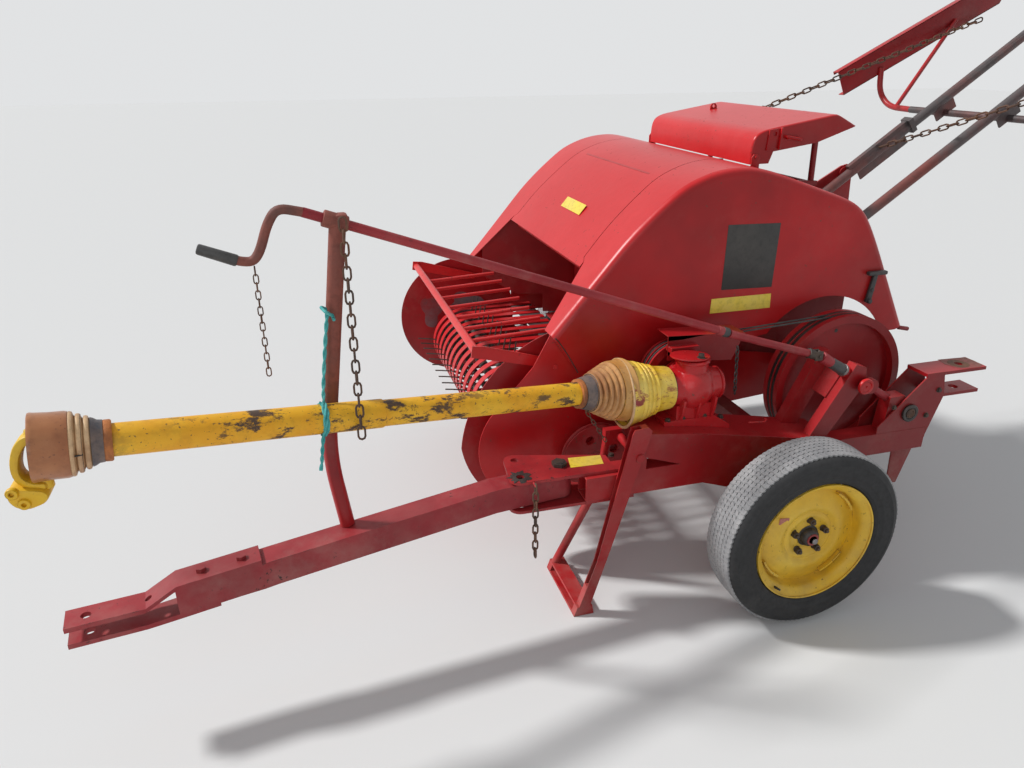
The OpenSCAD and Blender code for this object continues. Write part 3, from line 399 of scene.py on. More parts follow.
class Paintshop:
    """Keeps one material for each finish and paints pieces with it."""

    def __init__(self) -> None:
        """Lists the finishes of the machine."""
        self.finishes = {f.name: f for f in (
            # The side colours below are painted shade on faces turned towards +X.
            PaintFinish("hood_red", (0.54, 0.008, 0.011), (0.64, 0.030, 0.034), gloss=0.34, wear=0.25,
                        dirt=0.05, side=(0.25, 0.004, 0.005), patch=1.1),
            PaintFinish("frame_red", (0.38, 0.009, 0.012), (0.48, 0.024, 0.028), gloss=0.38, wear=0.6,
                        dirt=0.12, side=(0.20, 0.006, 0.008)),
            PaintFinish("bright_red", (0.62, 0.016, 0.018), (0.70, 0.05, 0.045), chip=(0.03, 0.025, 0.022),
                        gloss=0.36, wear=0.6, dirt=0.08, side=(0.42, 0.012, 0.014)),
            # shade_red is a darker red of painted shade, for parts that lie in shadow such as the bale
            # chamber, the axle beam and the rear leg.
            PaintFinish("shade_red", (0.20, 0.008, 0.010), (0.28, 0.016, 0.018), gloss=0.45, wear=0.5,
                        dirt=0.22),
            PaintFinish("bar_red", (0.25, 0.014, 0.020), (0.38, 0.036, 0.042), chip=(0.05, 0.03, 0.028),
                        gloss=0.48, wear=0.7, dirt=0.22, patch=3.0),
            PaintFinish("plate_red", (0.28, 0.014, 0.018), (0.46, 0.032, 0.034), chip=(0.02, 0.016, 0.015),
                        gloss=0.4, wear=0.95, dirt=0.35, dust=(0.09, 0.05, 0.045), patch=5.0),
            PaintFinish("gear_red", (0.46, 0.012, 0.015), (0.56, 0.030, 0.034), gloss=0.24, wear=0.45,
                        dirt=0.08),
            PaintFinish("rim_yellow", (0.72, 0.43, 0.020), (0.80, 0.55, 0.075), chip=(0.10, 0.04, 0.02),
                        gloss=0.40, wear=0.6, dirt=0.24, dust=(0.26, 0.15, 0.08), patch=4.0),
            PaintFinish("yoke_yellow", (0.74, 0.42, 0.012), (0.82, 0.54, 0.04), chip=(0.08, 0.045, 0.02),
                        gloss=0.42, wear=0.9, dirt=0.25, dust=(0.18, 0.10, 0.05), patch=5.0),
            RawFinish("tyre_rubber", (0.016, 0.016, 0.017), (0.050, 0.048, 0.047), rough=0.72, grain=20.0,
                      spread=(0.50, 0.80)),
            RawFinish("tread_rubber", (0.24, 0.24, 0.245), (0.35, 0.345, 0.345), rough=0.92, grain=34.0),
            RawFinish("belt_rubber", (0.035, 0.034, 0.034), (0.09, 0.085, 0.08), rough=0.8, grain=40.0),
            RawFinish("worn_steel", (0.27, 0.25, 0.25), (0.15, 0.11, 0.10), rough=0.42, metal=0.7,
                      grain=24.0),
            RawFinish("rusty_steel", (0.16, 0.075, 0.042), (0.07, 0.045, 0.035), rough=0.75, metal=0.15,
                      grain=34.0),
            RawFinish("rod_rust", (0.24, 0.065, 0.045), (0.12, 0.05, 0.04), rough=0.65, metal=0.1,
                      grain=18.0),
            RawFinish("dark_nut", (0.055, 0.045, 0.040), (0.11, 0.075, 0.055), rough=0.55, metal=0.5,
                      grain=60.0),
            RawFinish("tine_steel", (0.10, 0.085, 0.075), (0.055, 0.04, 0.032), rough=0.55, metal=0.5,
                      grain=30.0),
            RawFinish("black_grease", (0.018, 0.016, 0.015), (0.05, 0.04, 0.035), rough=0.45, grain=50.0,
                      relief=0.003),
            RawFinish("black_plastic", (0.03, 0.03, 0.031), (0.06, 0.058, 0.056), rough=0.5, grain=30.0),
            RawFinish("rope_fibre", (0.03, 0.30, 0.30), (0.10, 0.45, 0.43), rough=0.8, grain=80.0),
            RawFinish("smear_grey", (0.20, 0.14, 0.15), (0.24, 0.030, 0.034), rough=0.45, metal=0.2,
                      grain=12.0, relief=0.0002),
            RawFinish("plate_worn", (0.20, 0.075, 0.055), (0.32, 0.035, 0.035), rough=0.6, grain=22.0,
                      relief=0.0003),
            RawFinish("rail_steel", (0.10, 0.085, 0.085), (0.20, 0.055, 0.045), rough=0.5, metal=0.35,
                      grain=9.0),
            RawFinish("rib_orange", (0.58, 0.30, 0.11), (0.30, 0.12, 0.045), rough=0.42, grain=30.0,
                      relief=0.0004),
            RawFinish("label_red", (0.42, 0.14, 0.11), (0.50, 0.22, 0.16), rough=0.5, grain=40.0,
                      relief=0.0002),
            RawFinish("ring_rust", (0.50, 0.17, 0.045), (0.20, 0.07, 0.03), rough=0.7, metal=0.1,
                      grain=50.0),
            RawFinish("collar_dark", (0.045, 0.05, 0.065), (0.17, 0.12, 0.10), rough=0.5, grain=36.0),
            RawFinish("rib_cream", (0.66, 0.44, 0.24), (0.34, 0.16, 0.07), rough=0.45, grain=30.0,
                      relief=0.0004),
            RawFinish("label_yellow", (0.82, 0.62, 0.05), (0.75, 0.58, 0.12), rough=0.4, grain=20.0,
                      relief=0.0002),
            RawFinish("label_black", (0.030, 0.028, 0.026), (0.05, 0.045, 0.04), rough=0.45, grain=16.0,
                      relief=0.0002),
            StainedFinish("guard_yellow", (0.78, 0.36, 0.004), (0.82, 0.47, 0.018), (0.055, 0.028, 0.016),
                          amount=0.50, grain=22.0),
            StainedFinish("cone_yellow", (0.82, 0.52, 0.02), (0.84, 0.64, 0.16), (0.28, 0.03, 0.03),
                          amount=0.46, rough=0.45),
            StainedFinish("cone_brown", (0.50, 0.22, 0.05), (0.62, 0.36, 0.12), (0.20, 0.08, 0.03),
                          amount=0.12, rough=0.35),
            StainedFinish("bell_brown", (0.30, 0.095, 0.032), (0.42, 0.17, 0.065), (0.14, 0.05, 0.025),
                          amount=0.10, rough=0.30),
        )}
        self.made: dict[str, bpy.types.Material] = {}

    def get(self, name: str) -> bpy.types.Material:
        """Gives the material of a finish, made once.

        Args:
            name: Name of the finish.

        Returns:
            The material.
        """
        if name not in self.made:
            self.made[name] = self.finishes[name].make()
        return self.made[name]

    def coat(self, piece: Piece, name: str) -> Piece:
        """Puts one finish on the whole of a piece.

        Args:
            piece: Object to paint.
            name: Name of the finish.

        Returns:
            The same object.
        """
        material = self.get(name)
        if piece.material_slots:
            for one in piece.material_slots:
                one.material = material
        else:
            piece.data.materials.append(material)
        return piece


class Workshop:
    """Makes pieces with Blender's own modelling operators."""

    def __init__(self, paint: Paintshop) -> None:
        """Keeps the paint shop that finishes each piece."""
        self.paint = paint
        self.count = 0

    @staticmethod
    def clear() -> None:
        """Deselects everything."""
        if bpy.context.object is not None and bpy.context.object.mode != "OBJECT":
            bpy.ops.object.mode_set(mode="OBJECT")
        bpy.ops.object.select_all(action="DESELECT")

    def take(self, piece: Piece) -> Piece:
        """Makes one object the only selected and active one.

        Args:
            piece: Object to select.

        Returns:
            The same object.
        """
        self.clear()
        piece.select_set(True)
        bpy.context.view_layer.objects.active = piece
        return piece

    def settle(self, name: str) -> Piece:
        """Names the active object and puts its place into its mesh.

        Args:
            name: Name of the piece.

        Returns:
            The piece.
        """
        piece = bpy.context.object
        piece.name = name
        piece.data.name = name
        bpy.ops.object.transform_apply(location=True, rotation=True, scale=True)
        return piece

    def rod(self, name: str, start: Vector, end: Vector, radius: float, sides: int = 24,
            top: float | None = None, soft: float = 0.0) -> Piece:
        """Makes a round bar or a cone between two points.

        Args:
            name: Name of the piece.
            start: Middle of the first end.
            end: Middle of the second end.
            radius: Radius at the first end, in metres.
            sides: Number of sides.
            top: Radius at the second end, or None for a plain bar.
            soft: Width of the bevel round both ends.

        Returns:
            The new object.
        """
        self.clear()
        along = end - start
        turn = along.to_track_quat("Z", "Y").to_euler()
        bpy.ops.mesh.primitive_cone_add(vertices=sides, radius1=radius,
                                        radius2=radius if top is None else top, depth=along.length,
                                        location=(start + end) / 2, rotation=turn)
        piece = self.settle(name)
        if soft > 0.0:
            self.soften(piece, soft)
        return self.smooth(piece)

    def soften(self, piece: Piece, width: float, segments: int = 2, angle: float = 35.0) -> None:
        """Bevels the sharp edges of a piece and applies the modifier.

        Args:
            piece: Piece to bevel.
            width: Width of the bevel in metres.
            segments: Steps of the bevel.
            angle: Angle in degrees above which an edge is sharp.
        """
        self.take(piece)
        bevel = piece.modifiers.new("bevel", "BEVEL")
        bevel.width = width
        bevel.segments = segments
        bevel.limit_method = "ANGLE"
        bevel.angle_limit = math.radians(angle)
        bpy.ops.object.modifier_apply(modifier=bevel.name)

    def smooth(self, piece: Piece, angle: float = 35.0) -> Piece:
        """Shades a piece smooth below an angle.

        Args:
            piece: Piece to shade.
            angle: Angle in degrees below which it is smooth.

        Returns:
            The same object.
        """
        self.take(piece)
        bpy.ops.object.shade_smooth_by_angle(angle=math.radians(angle))
        return piece

    def block(self, name: str, low: Vector, high: Vector, soft: float = 0.002) -> Piece:
        """Makes a box between two corners with bevelled edges.

        Args:
            name: Name of the piece.
            low: Lowest corner.
            high: Highest corner.
            soft: Width of the bevel in metres.

        Returns:
            The new object.
        """
        self.clear()
        bpy.ops.mesh.primitive_cube_add(size=1.0, location=(low + high) / 2)
        bpy.context.object.scale = high - low
        piece = self.settle(name)
        if soft > 0.0:
            self.soften(piece, soft)
        return self.smooth(piece)

    def slab(self, name: str, outline: Sequence[Vector], thick: Vector, soft: float = 0.0015) -> Piece:
        """Makes a plate from an outline and a thickness.

        Args:
            name: Name of the piece.
            outline: Corners in order, in the row frame.
            thick: Vector that the outline is extruded along.
            soft: Width of the bevelled edge.

        Returns:
            The new object.
        """
        self.clear()
        bpy.ops.mesh.primitive_circle_add(vertices=len(outline), fill_type="NGON", radius=1.0)
        piece = self.settle(name)
        for vertex, corner in zip(piece.data.vertices, outline):
            vertex.co = corner
        bpy.ops.object.mode_set(mode="EDIT")
        bpy.ops.mesh.select_all(action="SELECT")
        bpy.ops.mesh.extrude_region_move(TRANSFORM_OT_translate={"value": thick})
        bpy.ops.mesh.select_all(action="SELECT")
        bpy.ops.mesh.normals_make_consistent(inside=False)
        bpy.ops.object.mode_set(mode="OBJECT")
        if soft > 0.0:
            self.soften(piece, soft, 2, 40.0)
        return self.smooth(piece)

    def lathe(self, name: str, profile: Profile, centre: Vector, axis: Vector, steps: int = 48,
              angle: float = 30.0) -> Piece:
        """Spins a closed profile round an axis.

        Args:
            name: Name of the piece.
            profile: Pairs of radius and distance along the axis, in metres, in order round the section.
            centre: Point that the distances start from.
            axis: Direction of the axis.
            steps: Number of facets round.
            angle: Angle under which the shading is smooth.

        Returns:
            The new object.
        """
        self.clear()
        bpy.ops.mesh.primitive_circle_add(vertices=len(profile), fill_type="NOTHING", radius=1.0)
        piece = self.settle(name)
        for vertex, (radius, along) in zip(piece.data.vertices, profile):
            vertex.co = (radius, 0.0, along)
        bpy.ops.object.mode_set(mode="EDIT")
        bpy.ops.mesh.select_all(action="SELECT")
        bpy.ops.mesh.spin(steps=steps, angle=math.tau, center=(0, 0, 0), axis=(0, 0, 1), dupli=False)
        bpy.ops.mesh.select_all(action="SELECT")
        bpy.ops.mesh.remove_doubles(threshold=0.00005)
        bpy.ops.mesh.normals_make_consistent(inside=False)
        bpy.ops.object.mode_set(mode="OBJECT")
        turn = axis.to_track_quat("Z", "Y").to_matrix().to_4x4()
        piece.data.transform(Matrix.Translation(centre) @ turn)
        return self.smooth(piece, angle)

    def tube(self, name: str, points: Sequence[Vector], radius: float, sides: int = 4,
             closed: bool = False) -> Piece:
        """Makes a round bar along a path, with its bends rounded.

        Args:
            name: Name of the piece.
            points: Points of the path, in the row frame.
            radius: Radius of the bar in metres.
            sides: Bevel resolution of the curve.
            closed: True where the path closes into a ring.

        Returns:
            The new object, a mesh.
        """
        self.clear()
        bpy.ops.curve.primitive_bezier_curve_add()
        piece = bpy.context.object
        curve = piece.data
        curve.splines.clear()
        spline = curve.splines.new("POLY")
        spline.points.add(len(points) - 1)
        for point, target in zip(spline.points, points):
            point.co = (*target, 1.0)
        spline.use_cyclic_u = closed
        curve.dimensions = "3D"
        curve.bevel_depth = radius
        curve.bevel_resolution = sides
        curve.use_fill_caps = not closed
        piece.location = (0.0, 0.0, 0.0)
        self.take(piece)
        bpy.ops.object.convert(target="MESH")
        piece = self.settle(name)
        return self.smooth(piece, 50.0)

    def join(self, name: str, pieces: Iterable[Piece]) -> Piece:
        """Joins pieces into one object.

        Args:
            name: Name of the joined piece.
            pieces: Pieces to join.

        Returns:
            The joined piece.
        """
        pieces = list(pieces)
        self.clear()
        for piece in pieces:
            piece.select_set(True)
        bpy.context.view_layer.objects.active = pieces[0]
        bpy.ops.object.join()
        pieces[0].name = name
        pieces[0].data.name = name
        return pieces[0]

    def twin(self, piece: Piece, name: str, move: Matrix) -> Piece:
        """Copies a piece with its own mesh and moves the copy.

        Args:
            piece: Piece to copy.
            name: Name of the copy.
            move: Move of the copy.

        Returns:
            The copy.
        """
        self.take(piece)
        bpy.ops.object.duplicate(linked=False)
        other = bpy.context.object
        other.name = name
        other.data.name = name
        other.data.transform(move)
        if move.determinant() < 0.0:
            other.data.flip_normals()
        return other

    def cut(self, piece: Piece, *cutters: Piece) -> Piece:
        """Takes cutters out of a piece and removes them.

        Args:
            piece: Piece to cut.
            cutters: Solids that are taken out of it.

        Returns:
            The same object.
        """
        for cutter in cutters:
            self.take(piece)
            tool = piece.modifiers.new("cut", "BOOLEAN")
            tool.operation = "DIFFERENCE"
            tool.solver = "EXACT"
            tool.object = cutter
            bpy.ops.object.modifier_apply(modifier=tool.name)
            bpy.data.objects.remove(cutter, do_unlink=True)
        return self.smooth(piece)

    def thicken(self, piece: Piece, thickness: float) -> Piece:
        """Gives a sheet its thickness, towards the inside.

        Args:
            piece: Sheet to thicken.
            thickness: Thickness in metres.

        Returns:
            The same object.
        """
        self.take(piece)
        solid = piece.modifiers.new("solid", "SOLIDIFY")
        solid.thickness = thickness
        solid.offset = -1.0
        bpy.ops.object.modifier_apply(modifier=solid.name)
        return piece

    def plate(self, name: str, x0: float, x1: float, outline: Profile, soft: float = 0.001) -> Piece:
        """Makes a plate across the machine from a (y, z) outline in millimetres.

        Args:
            name: Name of the piece.
            x0: First face.
            x1: Second face.
            outline: Corners as (y, z) with y from the axle.
            soft: Width of the eased edge in metres.

        Returns:
            The new object.
        """
        return self.slab(name, [place(x0, y, z) for y, z in outline],
                         Vector(((x1 - x0) / 1000.0, 0.0, 0.0)), soft)

    def bar(self, name: str, start: Point, end: Point, radius: float, sides: int = 24,
            top: float | None = None, soft: float = 0.0) -> Piece:
        """Makes a round bar between two points in millimetres."""
        return self.rod(name, place(*start), place(*end), radius / 1000.0, sides,
                        None if top is None else top / 1000.0, soft)

    def shell(self, name: str, outline: Profile, x_near: float, x_far: float, keep: set[int],
              ends: tuple[bool, bool], radius: float, sheet: float) -> Piece:
        """Makes a folded sheet: end faces and a band of walls with rounded edges between them.

        Args:
            name: Name of the piece.
            outline: Corners as (y, z) in millimetres.
            x_near: Place of the first end face.
            x_far: Place of the second end face.
            keep: Numbers of the outline's edges that have a wall.
            ends: Whether the first and the second end have a face.
            radius: Radius of the rounded edges in metres.
            sheet: Thickness of the sheet in metres.

        Returns:
            The new object.
        """
        piece = self.plate(name, x_near, x_far, outline, 0.0)
        points = [place(0.0, y, z) for y, z in outline]
        count = len(points)

        def nearest(y: float, z: float) -> int:
            """Finds the outline's edge nearest to a place.

            Args:
                y: Place along the machine in metres.
                z: Height in metres.

            Returns:
                The number of the edge.
            """
            best, found = 0, 1e9
            for i in range(count):
                a, b = points[i], points[(i + 1) % count]
                run = (b.y - a.y) ** 2 + (b.z - a.z) ** 2
                t = max(0.0, min(1.0, ((y - a.y) * (b.y - a.y) + (z - a.z) * (b.z - a.z)) / run))
                gap = (a.y + t * (b.y - a.y) - y) ** 2 + (a.z + t * (b.z - a.z) - z) ** 2
                if gap < found:
                    best, found = i, gap
            return best

        mesh = piece.data
        near, far = x_near / 1000.0, x_far / 1000.0
        for face in mesh.polygons:
            x = face.center.x
            if abs(face.normal.x) > 0.9:
                first, last = abs(x - near) < CLOSE, abs(x - far) < CLOSE
                face.select = (first and not ends[0]) or (last and not ends[1])
            else:
                face.select = nearest(face.center.y, face.center.z) not in keep
        self.remove_faces(piece)
        for edge in mesh.edges:
            a, b = (mesh.vertices[v].co for v in edge.vertices)
            flat = abs(a.x - b.x) < 1e-5
            side = (ends[0] and abs(a.x - near) < CLOSE) or (ends[1] and abs(a.x - far) < CLOSE)
            edge.select = flat and side and nearest((a.y + b.y) / 2, (a.z + b.z) / 2) in keep
        self.take(piece)
        bpy.ops.object.mode_set(mode="EDIT")
        bpy.ops.mesh.bevel(offset=radius, segments=4, affect="EDGES")
        bpy.ops.object.mode_set(mode="OBJECT")
        self.thicken(piece, sheet)
        return self.smooth(piece, 32.0)

    def remove_faces(self, piece: Piece) -> None:
        """Deletes the faces that are marked on a piece and clears all marks.

        Args:
            piece: Piece with marked faces.
        """
        marks = [face.select for face in piece.data.polygons]
        self.take(piece)
        bpy.ops.object.mode_set(mode="EDIT")
        bpy.ops.mesh.select_mode(type="FACE")
        bpy.ops.mesh.select_all(action="DESELECT")
        bpy.ops.object.mode_set(mode="OBJECT")
        for face, mark in zip(piece.data.polygons, marks):
            face.select = mark
        bpy.ops.object.mode_set(mode="EDIT")
        bpy.ops.mesh.delete(type="FACE")
        bpy.ops.mesh.select_mode(type="EDGE")
        bpy.ops.mesh.select_all(action="DESELECT")
        bpy.ops.object.mode_set(mode="OBJECT")

    def ring(self, piece: Piece, count: int, centre: Vector, axis: Vector) -> Piece:
        """Repeats a piece round an axis and applies the repeats.

        Args:
            piece: Piece at its first place.
            count: Number of places round the full turn.
            centre: Point on the axis.
            axis: Direction of the axis.

        Returns:
            The same object, with all repeats in its mesh.
        """
        mark = bpy.data.objects.new("mark", None)
        bpy.context.collection.objects.link(mark)
        turn = Matrix.Rotation(math.tau / count, 4, axis)
        mark.matrix_world = Matrix.Translation(centre) @ turn @ Matrix.Translation(-centre)
        self.take(piece)
        row = piece.modifiers.new("row", "ARRAY")
        row.count = count
        row.use_relative_offset = False
        row.use_object_offset = True
        row.offset_object = mark
        bpy.context.view_layer.update()
        bpy.ops.object.modifier_apply(modifier=row.name)
        bpy.data.objects.remove(mark, do_unlink=True)
        return piece

    def spun(self, name: str, profile: Profile, start: Point, axis: Vector, steps: int = 48,
             angle: float = 40.0) -> Piece:
        """Spins a closed profile of (radius, distance) pairs in millimetres round an axis."""
        return self.lathe(name, [(r / 1000.0, a / 1000.0) for r, a in profile], place(*start), axis, steps,
                          angle)

    def bolt(self, name: str, spot: Point, axis: Vector, size: float, head: float = 0.0) -> Piece:
        """Makes a hexagon head on its washer.

        Args:
            name: Name of the piece.
            spot: Middle of the seat in millimetres.
            axis: Direction away from the seat.
            size: Radius over the corners in millimetres.
            head: Height of the head in millimetres, or 0 for the usual share of the size.

        Returns:
            The new object.
        """
        high = head or size * 0.75
        base = place(*spot)
        unit = axis.normalized()
        washer = self.rod(name, base, base + unit * 0.002, size * 1.25 / 1000.0, 20, None, 0.0006)
        top = self.rod(name, base + unit * 0.002, base + unit * (0.002 + high / 1000.0), size / 1000.0, 6,
                       None, 0.0012)
        return self.join(name, [washer, top])

    def chain(self, name: str, start: Point, end: Point, count: int, wire: float, wide: float) -> Piece:
        """Makes a hanging run of welded links between two points in millimetres.

        Args:
            name: Name of the piece.
            start: Upper end.
            end: Lower end.
            count: Number of links.
            wire: Thickness of the wire.
            wide: Width of a link.

        Returns:
            The new object.
        """
        a, b = place(*start), place(*end)
        pitch = (b - a).length / count
        straight = pitch / 2 + wire * 0.00052 - wide * 0.0005 + wire * 0.0005
        bend = (wide - wire) / 2000.0
        steps = (0.0, 0.79, 1.57, 2.36, 3.14)
        path = [Vector((bend * math.cos(t), 0.0, straight + bend * math.sin(t))) for t in steps]
        path += [Vector((-p.x, 0.0, -p.z)) for p in path]
        link = self.tube(name, path, wire / 2000.0, 1, True)
        turn = (b - a).to_track_quat("Z", "Y").to_matrix().to_4x4()
        unit = (b - a).normalized()
        links = []
        for i in range(count):
            spot = Matrix.Translation(a + unit * pitch * (i + 0.5))
            twist = Matrix.Rotation(math.radians(90.0 * (i % 2) + 6.0 * math.sin(i * 2.3)), 4, "Z")
            links.append(self.twin(link, name, spot @ turn @ twist))
        bpy.data.objects.remove(link, do_unlink=True)
        return self.smooth(self.join(name, links), 60.0)

    def fixed(self, piece: Piece, finish: str, slot: Slot, *nodes: str) -> Piece:
        """Finishes a piece that stands still on the chassis."""
        return self.finish(piece, finish, Body.CHASSIS, slot, *nodes)

    def finish(self, piece: Piece, finish: str, body: Body, slot: Slot, *nodes: str) -> Piece:
        """Paints a piece, lets it ride on a body and hides the nodes of the frame that it replaces.

        Args:
            piece: Object to finish.
            finish: Name of the finish.
            body: Body that it rides on.
            slot: Material slot; not used.
            nodes: Nodes of the frame that it replaces.

        Returns:
            The same object.
        """
        if finish:
            self.paint.coat(piece, finish)
        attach(piece, body.value)
        if nodes:
            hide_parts(*nodes)
        self.count += 1
        LOG.info("piece %s rides on %s", piece.name, body.value)
        return piece


def rounded(points: Sequence[Vector], radius: float, steps: int = 5) -> list[Vector]:
    """Rounds the corners of a path.

    Args:
        points: Corners of the path.
        radius: Distance from a corner at which its curve starts.
        steps: Number of points on each curve.

    Returns:
        The path with its corners rounded.
    """
    path = [points[0]]
    for before, corner, after in zip(points, points[1:], points[2:]):
        near = corner + (before - corner).normalized() * min(radius, (before - corner).length * 0.45)
        far = corner + (after - corner).normalized() * min(radius, (after - corner).length * 0.45)
        for i in range(steps + 1):
            t = i / steps
            path.append(near.lerp(corner, t).lerp(corner.lerp(far, t), t))
    path.append(points[-1])
    return path


def softened(points: Profile, radius: float, steps: int = 4) -> list[Pair]:
    """Rounds the corners of a (y, z) line in millimetres."""
    path = rounded([Vector((0.0, y, z)) for y, z in points], radius, steps)
    return [(p.y, p.z) for p in path]


@dataclass
class Hood:
    """Hood of the press: two side shells, the middle panel, its labels, latch and small rods."""

    shop: Workshop
    mid: float = -150.0
    half: float = 590.0
    sheet: float = 0.0026
    fold: float = 0.024
    line: tuple[Pair, ...] = (
        (-684, 862), (-560, 1006), (-425, 1165), (-330, 1252), (-237, 1326), (-130, 1366), (-24, 1377),
        (60, 1362), (143, 1337), (412, 1245), (470, 1206), (511, 1150))
    tail: tuple[Pair, ...] = ((560, 1068), (726, 762), (690, 750), (648, 748))
    seam: tuple[Pair, ...] = ((520, -690), (424, -515), (402, -505), (362, -20), (362, 600))

    def outline(self) -> tuple[list[Pair], set[int]]:
        """Gives the side outline and the numbers of its edges that carry the top skin.

        Returns:
            Corners as (y, z), and the numbers of the edges with skin.
        """
        top = softened((*self.line, *self.tail[:2]), 75.0)
        low = [*self.tail[2:], *((365 + 290 * math.cos(math.radians(a)),
                                  620 + 290 * math.sin(math.radians(a))) for a in range(24, 150, 6)),
               (-300, 728), (-592, 728)]
        return [*top, *low], set(range(len(top) - 1))

    def seam_cutter(self, sign: int, gap: float, outer: float) -> Piece:
        """Makes the upright prism that parts a side shell from the middle panel.

        Args:
            sign: 1 for the left side, -1 for the right side.
            gap: Half the width of the seam.
            outer: Reach of the prism from the middle.

        Returns:
            The prism.
        """
        inner = [(self.mid + sign * (x - gap), y) for x, y in self.seam]
        corners = [(self.mid + sign * outer, -800.0), (inner[0][0], -800.0), *inner,
                   (self.mid + sign * outer, 600.0)]
        return self.shop.slab("seam_cut", [place(x, y, 700.0) for x, y in corners], UP * 0.8, 0.0)

    def side(self, sign: int, name: str) -> Piece:
        """Builds one side shell.

        Args:
            sign: 1 for the left side, -1 for the right side.
            name: Name of the piece.

        Returns:
            The shell.
        """
        shop = self.shop
        outline, top = self.outline()
        shell = shop.shell(name, outline, self.mid + sign * self.half, self.mid + sign * 340.0, top,
                           (True, False), self.fold, self.sheet)
        x0, x1 = ordered(self.mid, self.mid + sign * (self.half - 34))
        tail = shop.block("tail_cut", place(x0, 514, 700), place(x1, 800, 1149), 0.0)
        return shop.cut(shell, self.seam_cutter(sign, 0.0, 300.0), tail)

    def middle(self) -> Piece:
        """Builds the middle panel with its folded front edge.

        Returns:
            The panel.
        """
        shop = self.shop
        line = [p for p in softened(self.line, 75.0) if -528.0 < p[0] < 150.0]
        line = [(-528.0, 1043.6), *line, (150.0, 1334.6)]
        skin = [*line, (150.0, 1331.8), *((y + 1.4, z - 2.6) for y, z in reversed(line[1:-1])),
                (-523.0, 1043.0), (-502.0, 1036.0), (-500.0, 1019.0), (-503.0, 1019.0), (-505.0, 1033.5)]
        panel = shop.plate("hood_middle_panel", self.mid - 420, self.mid + 420, skin, 0.0)
        return shop.cut(panel, self.seam_cutter(1, 3.5, 640.0), self.seam_cutter(-1, 3.5, 640.0))

    def under_parts(self, sign: int) -> list[Piece]:
        """Builds uprights, arms and the ear of the cover on one side.

        Args:
            sign: 1 for the left side, -1 for the right side.

        Returns:
            The pieces.
        """
        shop = self.shop
        edge = self.mid + sign * self.half
        wall = self.mid + sign * 395.0
        ear = self.mid + sign * 404.0
        x0, x1 = ordered(wall + sign * 8, wall + sign * 38)
        a0, a1 = ordered(wall + sign * 8, edge - sign * 2)
        e0, e1 = ordered(ear, ear + sign * 6)
        return [
            shop.block("hood_upright", place(x0, -180, 492.3), place(x1, -150, 750)),
            shop.block("hood_arm", place(a0, -180, 730), place(a1, -150, 750)),
            shop.plate("cover_ear", e0, e1, [
                (104, 1340), (104, 1380), (112, 1390), (128, 1390), (136, 1380), (136, 1334)]),
            shop.bar("ear_pin", (ear - sign * 12, 120, 1380), (ear + sign * 12, 120, 1380), 6)]

    def dress_left(self) -> None:
        """Finishes the left side with its lower shield."""
        shop = self.shop
        arc = [(-720 + 217 * math.cos(math.radians(a)), 465 + 217 * math.sin(math.radians(a)))
               for a in range(270, 134, -6)]
        shield = shop.plate("lower_shield", 430, 434, [
            (-687, 868), (-590, 726.5), (-300, 726.5), (-300, 420), (-400, 330), (-560, 262), *arc,
            (-745, 760)], 0.0012)
        strips = [shop.block("join_strip", place(433.8, -560, 726.7), place(437.2, -310, 740.7), 0.0005),
                  shop.block("join_strip_2", place(431, -330, 700), place(437.2, -310, 740), 0.0005),
                  shop.block("rear_stay", place(250.3, 480, 1000), place(437, 500, 1090), 0.001),
                  shop.block("front_stay", place(276.3, -330, 842), place(438, -310, 868), 0.001),
                  shop.plate("under_sheet", 283, 286, [
                      (-226, 436), (40, 452), (300, 474), (300, 640), (-226, 728)], 0.0008)]
        piece = shop.join("hood_left_shell", [
            self.side(1, "side_left"), shield, *strips, *self.under_parts(1)])
        shop.fixed(piece, "hood_red", Slot.RED, "hood_left")

    def dress_right(self) -> None:
        """Finishes the right side."""
        shop = self.shop
        stay = shop.block("rear_stay", place(-737, 480, 1000), place(-550.3, 500, 1090), 0.001)
        wall = shop.plate("inner_wall", -748, -745, [(-480, 566), (-285, 566), (-285, 742), (-480, 742)],
                          0.0008)
        piece = shop.join("hood_right_shell", [
            self.side(-1, "side_right"), stay, wall, *self.under_parts(-1)])
        shop.fixed(piece, "hood_red", Slot.RED, "hood_right")

    def labels(self) -> None:
        """Adds blank plates and stickers."""
        shop = self.shop
        x = self.mid + self.half
        black = shop.plate("black_plate", x + 0.2, x + 0.9,
                           [(-74, 969), (124, 964), (128, 1187), (-72, 1192)], 0.0002)
        shop.fixed(black, "label_black", Slot.RED)
        strip = shop.plate("yellow_strip", x + 0.2, x + 0.8,
                           [(-109, 888), (128, 888), (126, 940), (-107, 940)], 0.0002)
        shop.fixed(strip, "label_yellow", Slot.YELLOW)
        seam = ((-672, 856), (-660, 844), (-633, 804), (-607, 759), (-588, 724))
        gap = shop.tube("side_seam", rounded([place(x + 0.1, y, z) for y, z in seam], 0.02, 3), 0.0018, 2)
        shop.fixed(gap, "black_grease", Slot.RED)
        corners = [place(-208, -428, 1161.6), place(-9, -428, 1161.6), place(-9, -399, 1195.8),
                   place(-208, -399, 1195.8)]
        lift = Vector((0.0, -0.00076, 0.00065))
        small = shop.slab("small_sticker", [c + lift * 0.6 for c in corners], lift * 0.5, 0.0)
        shop.fixed(small, "label_yellow", Slot.YELLOW)

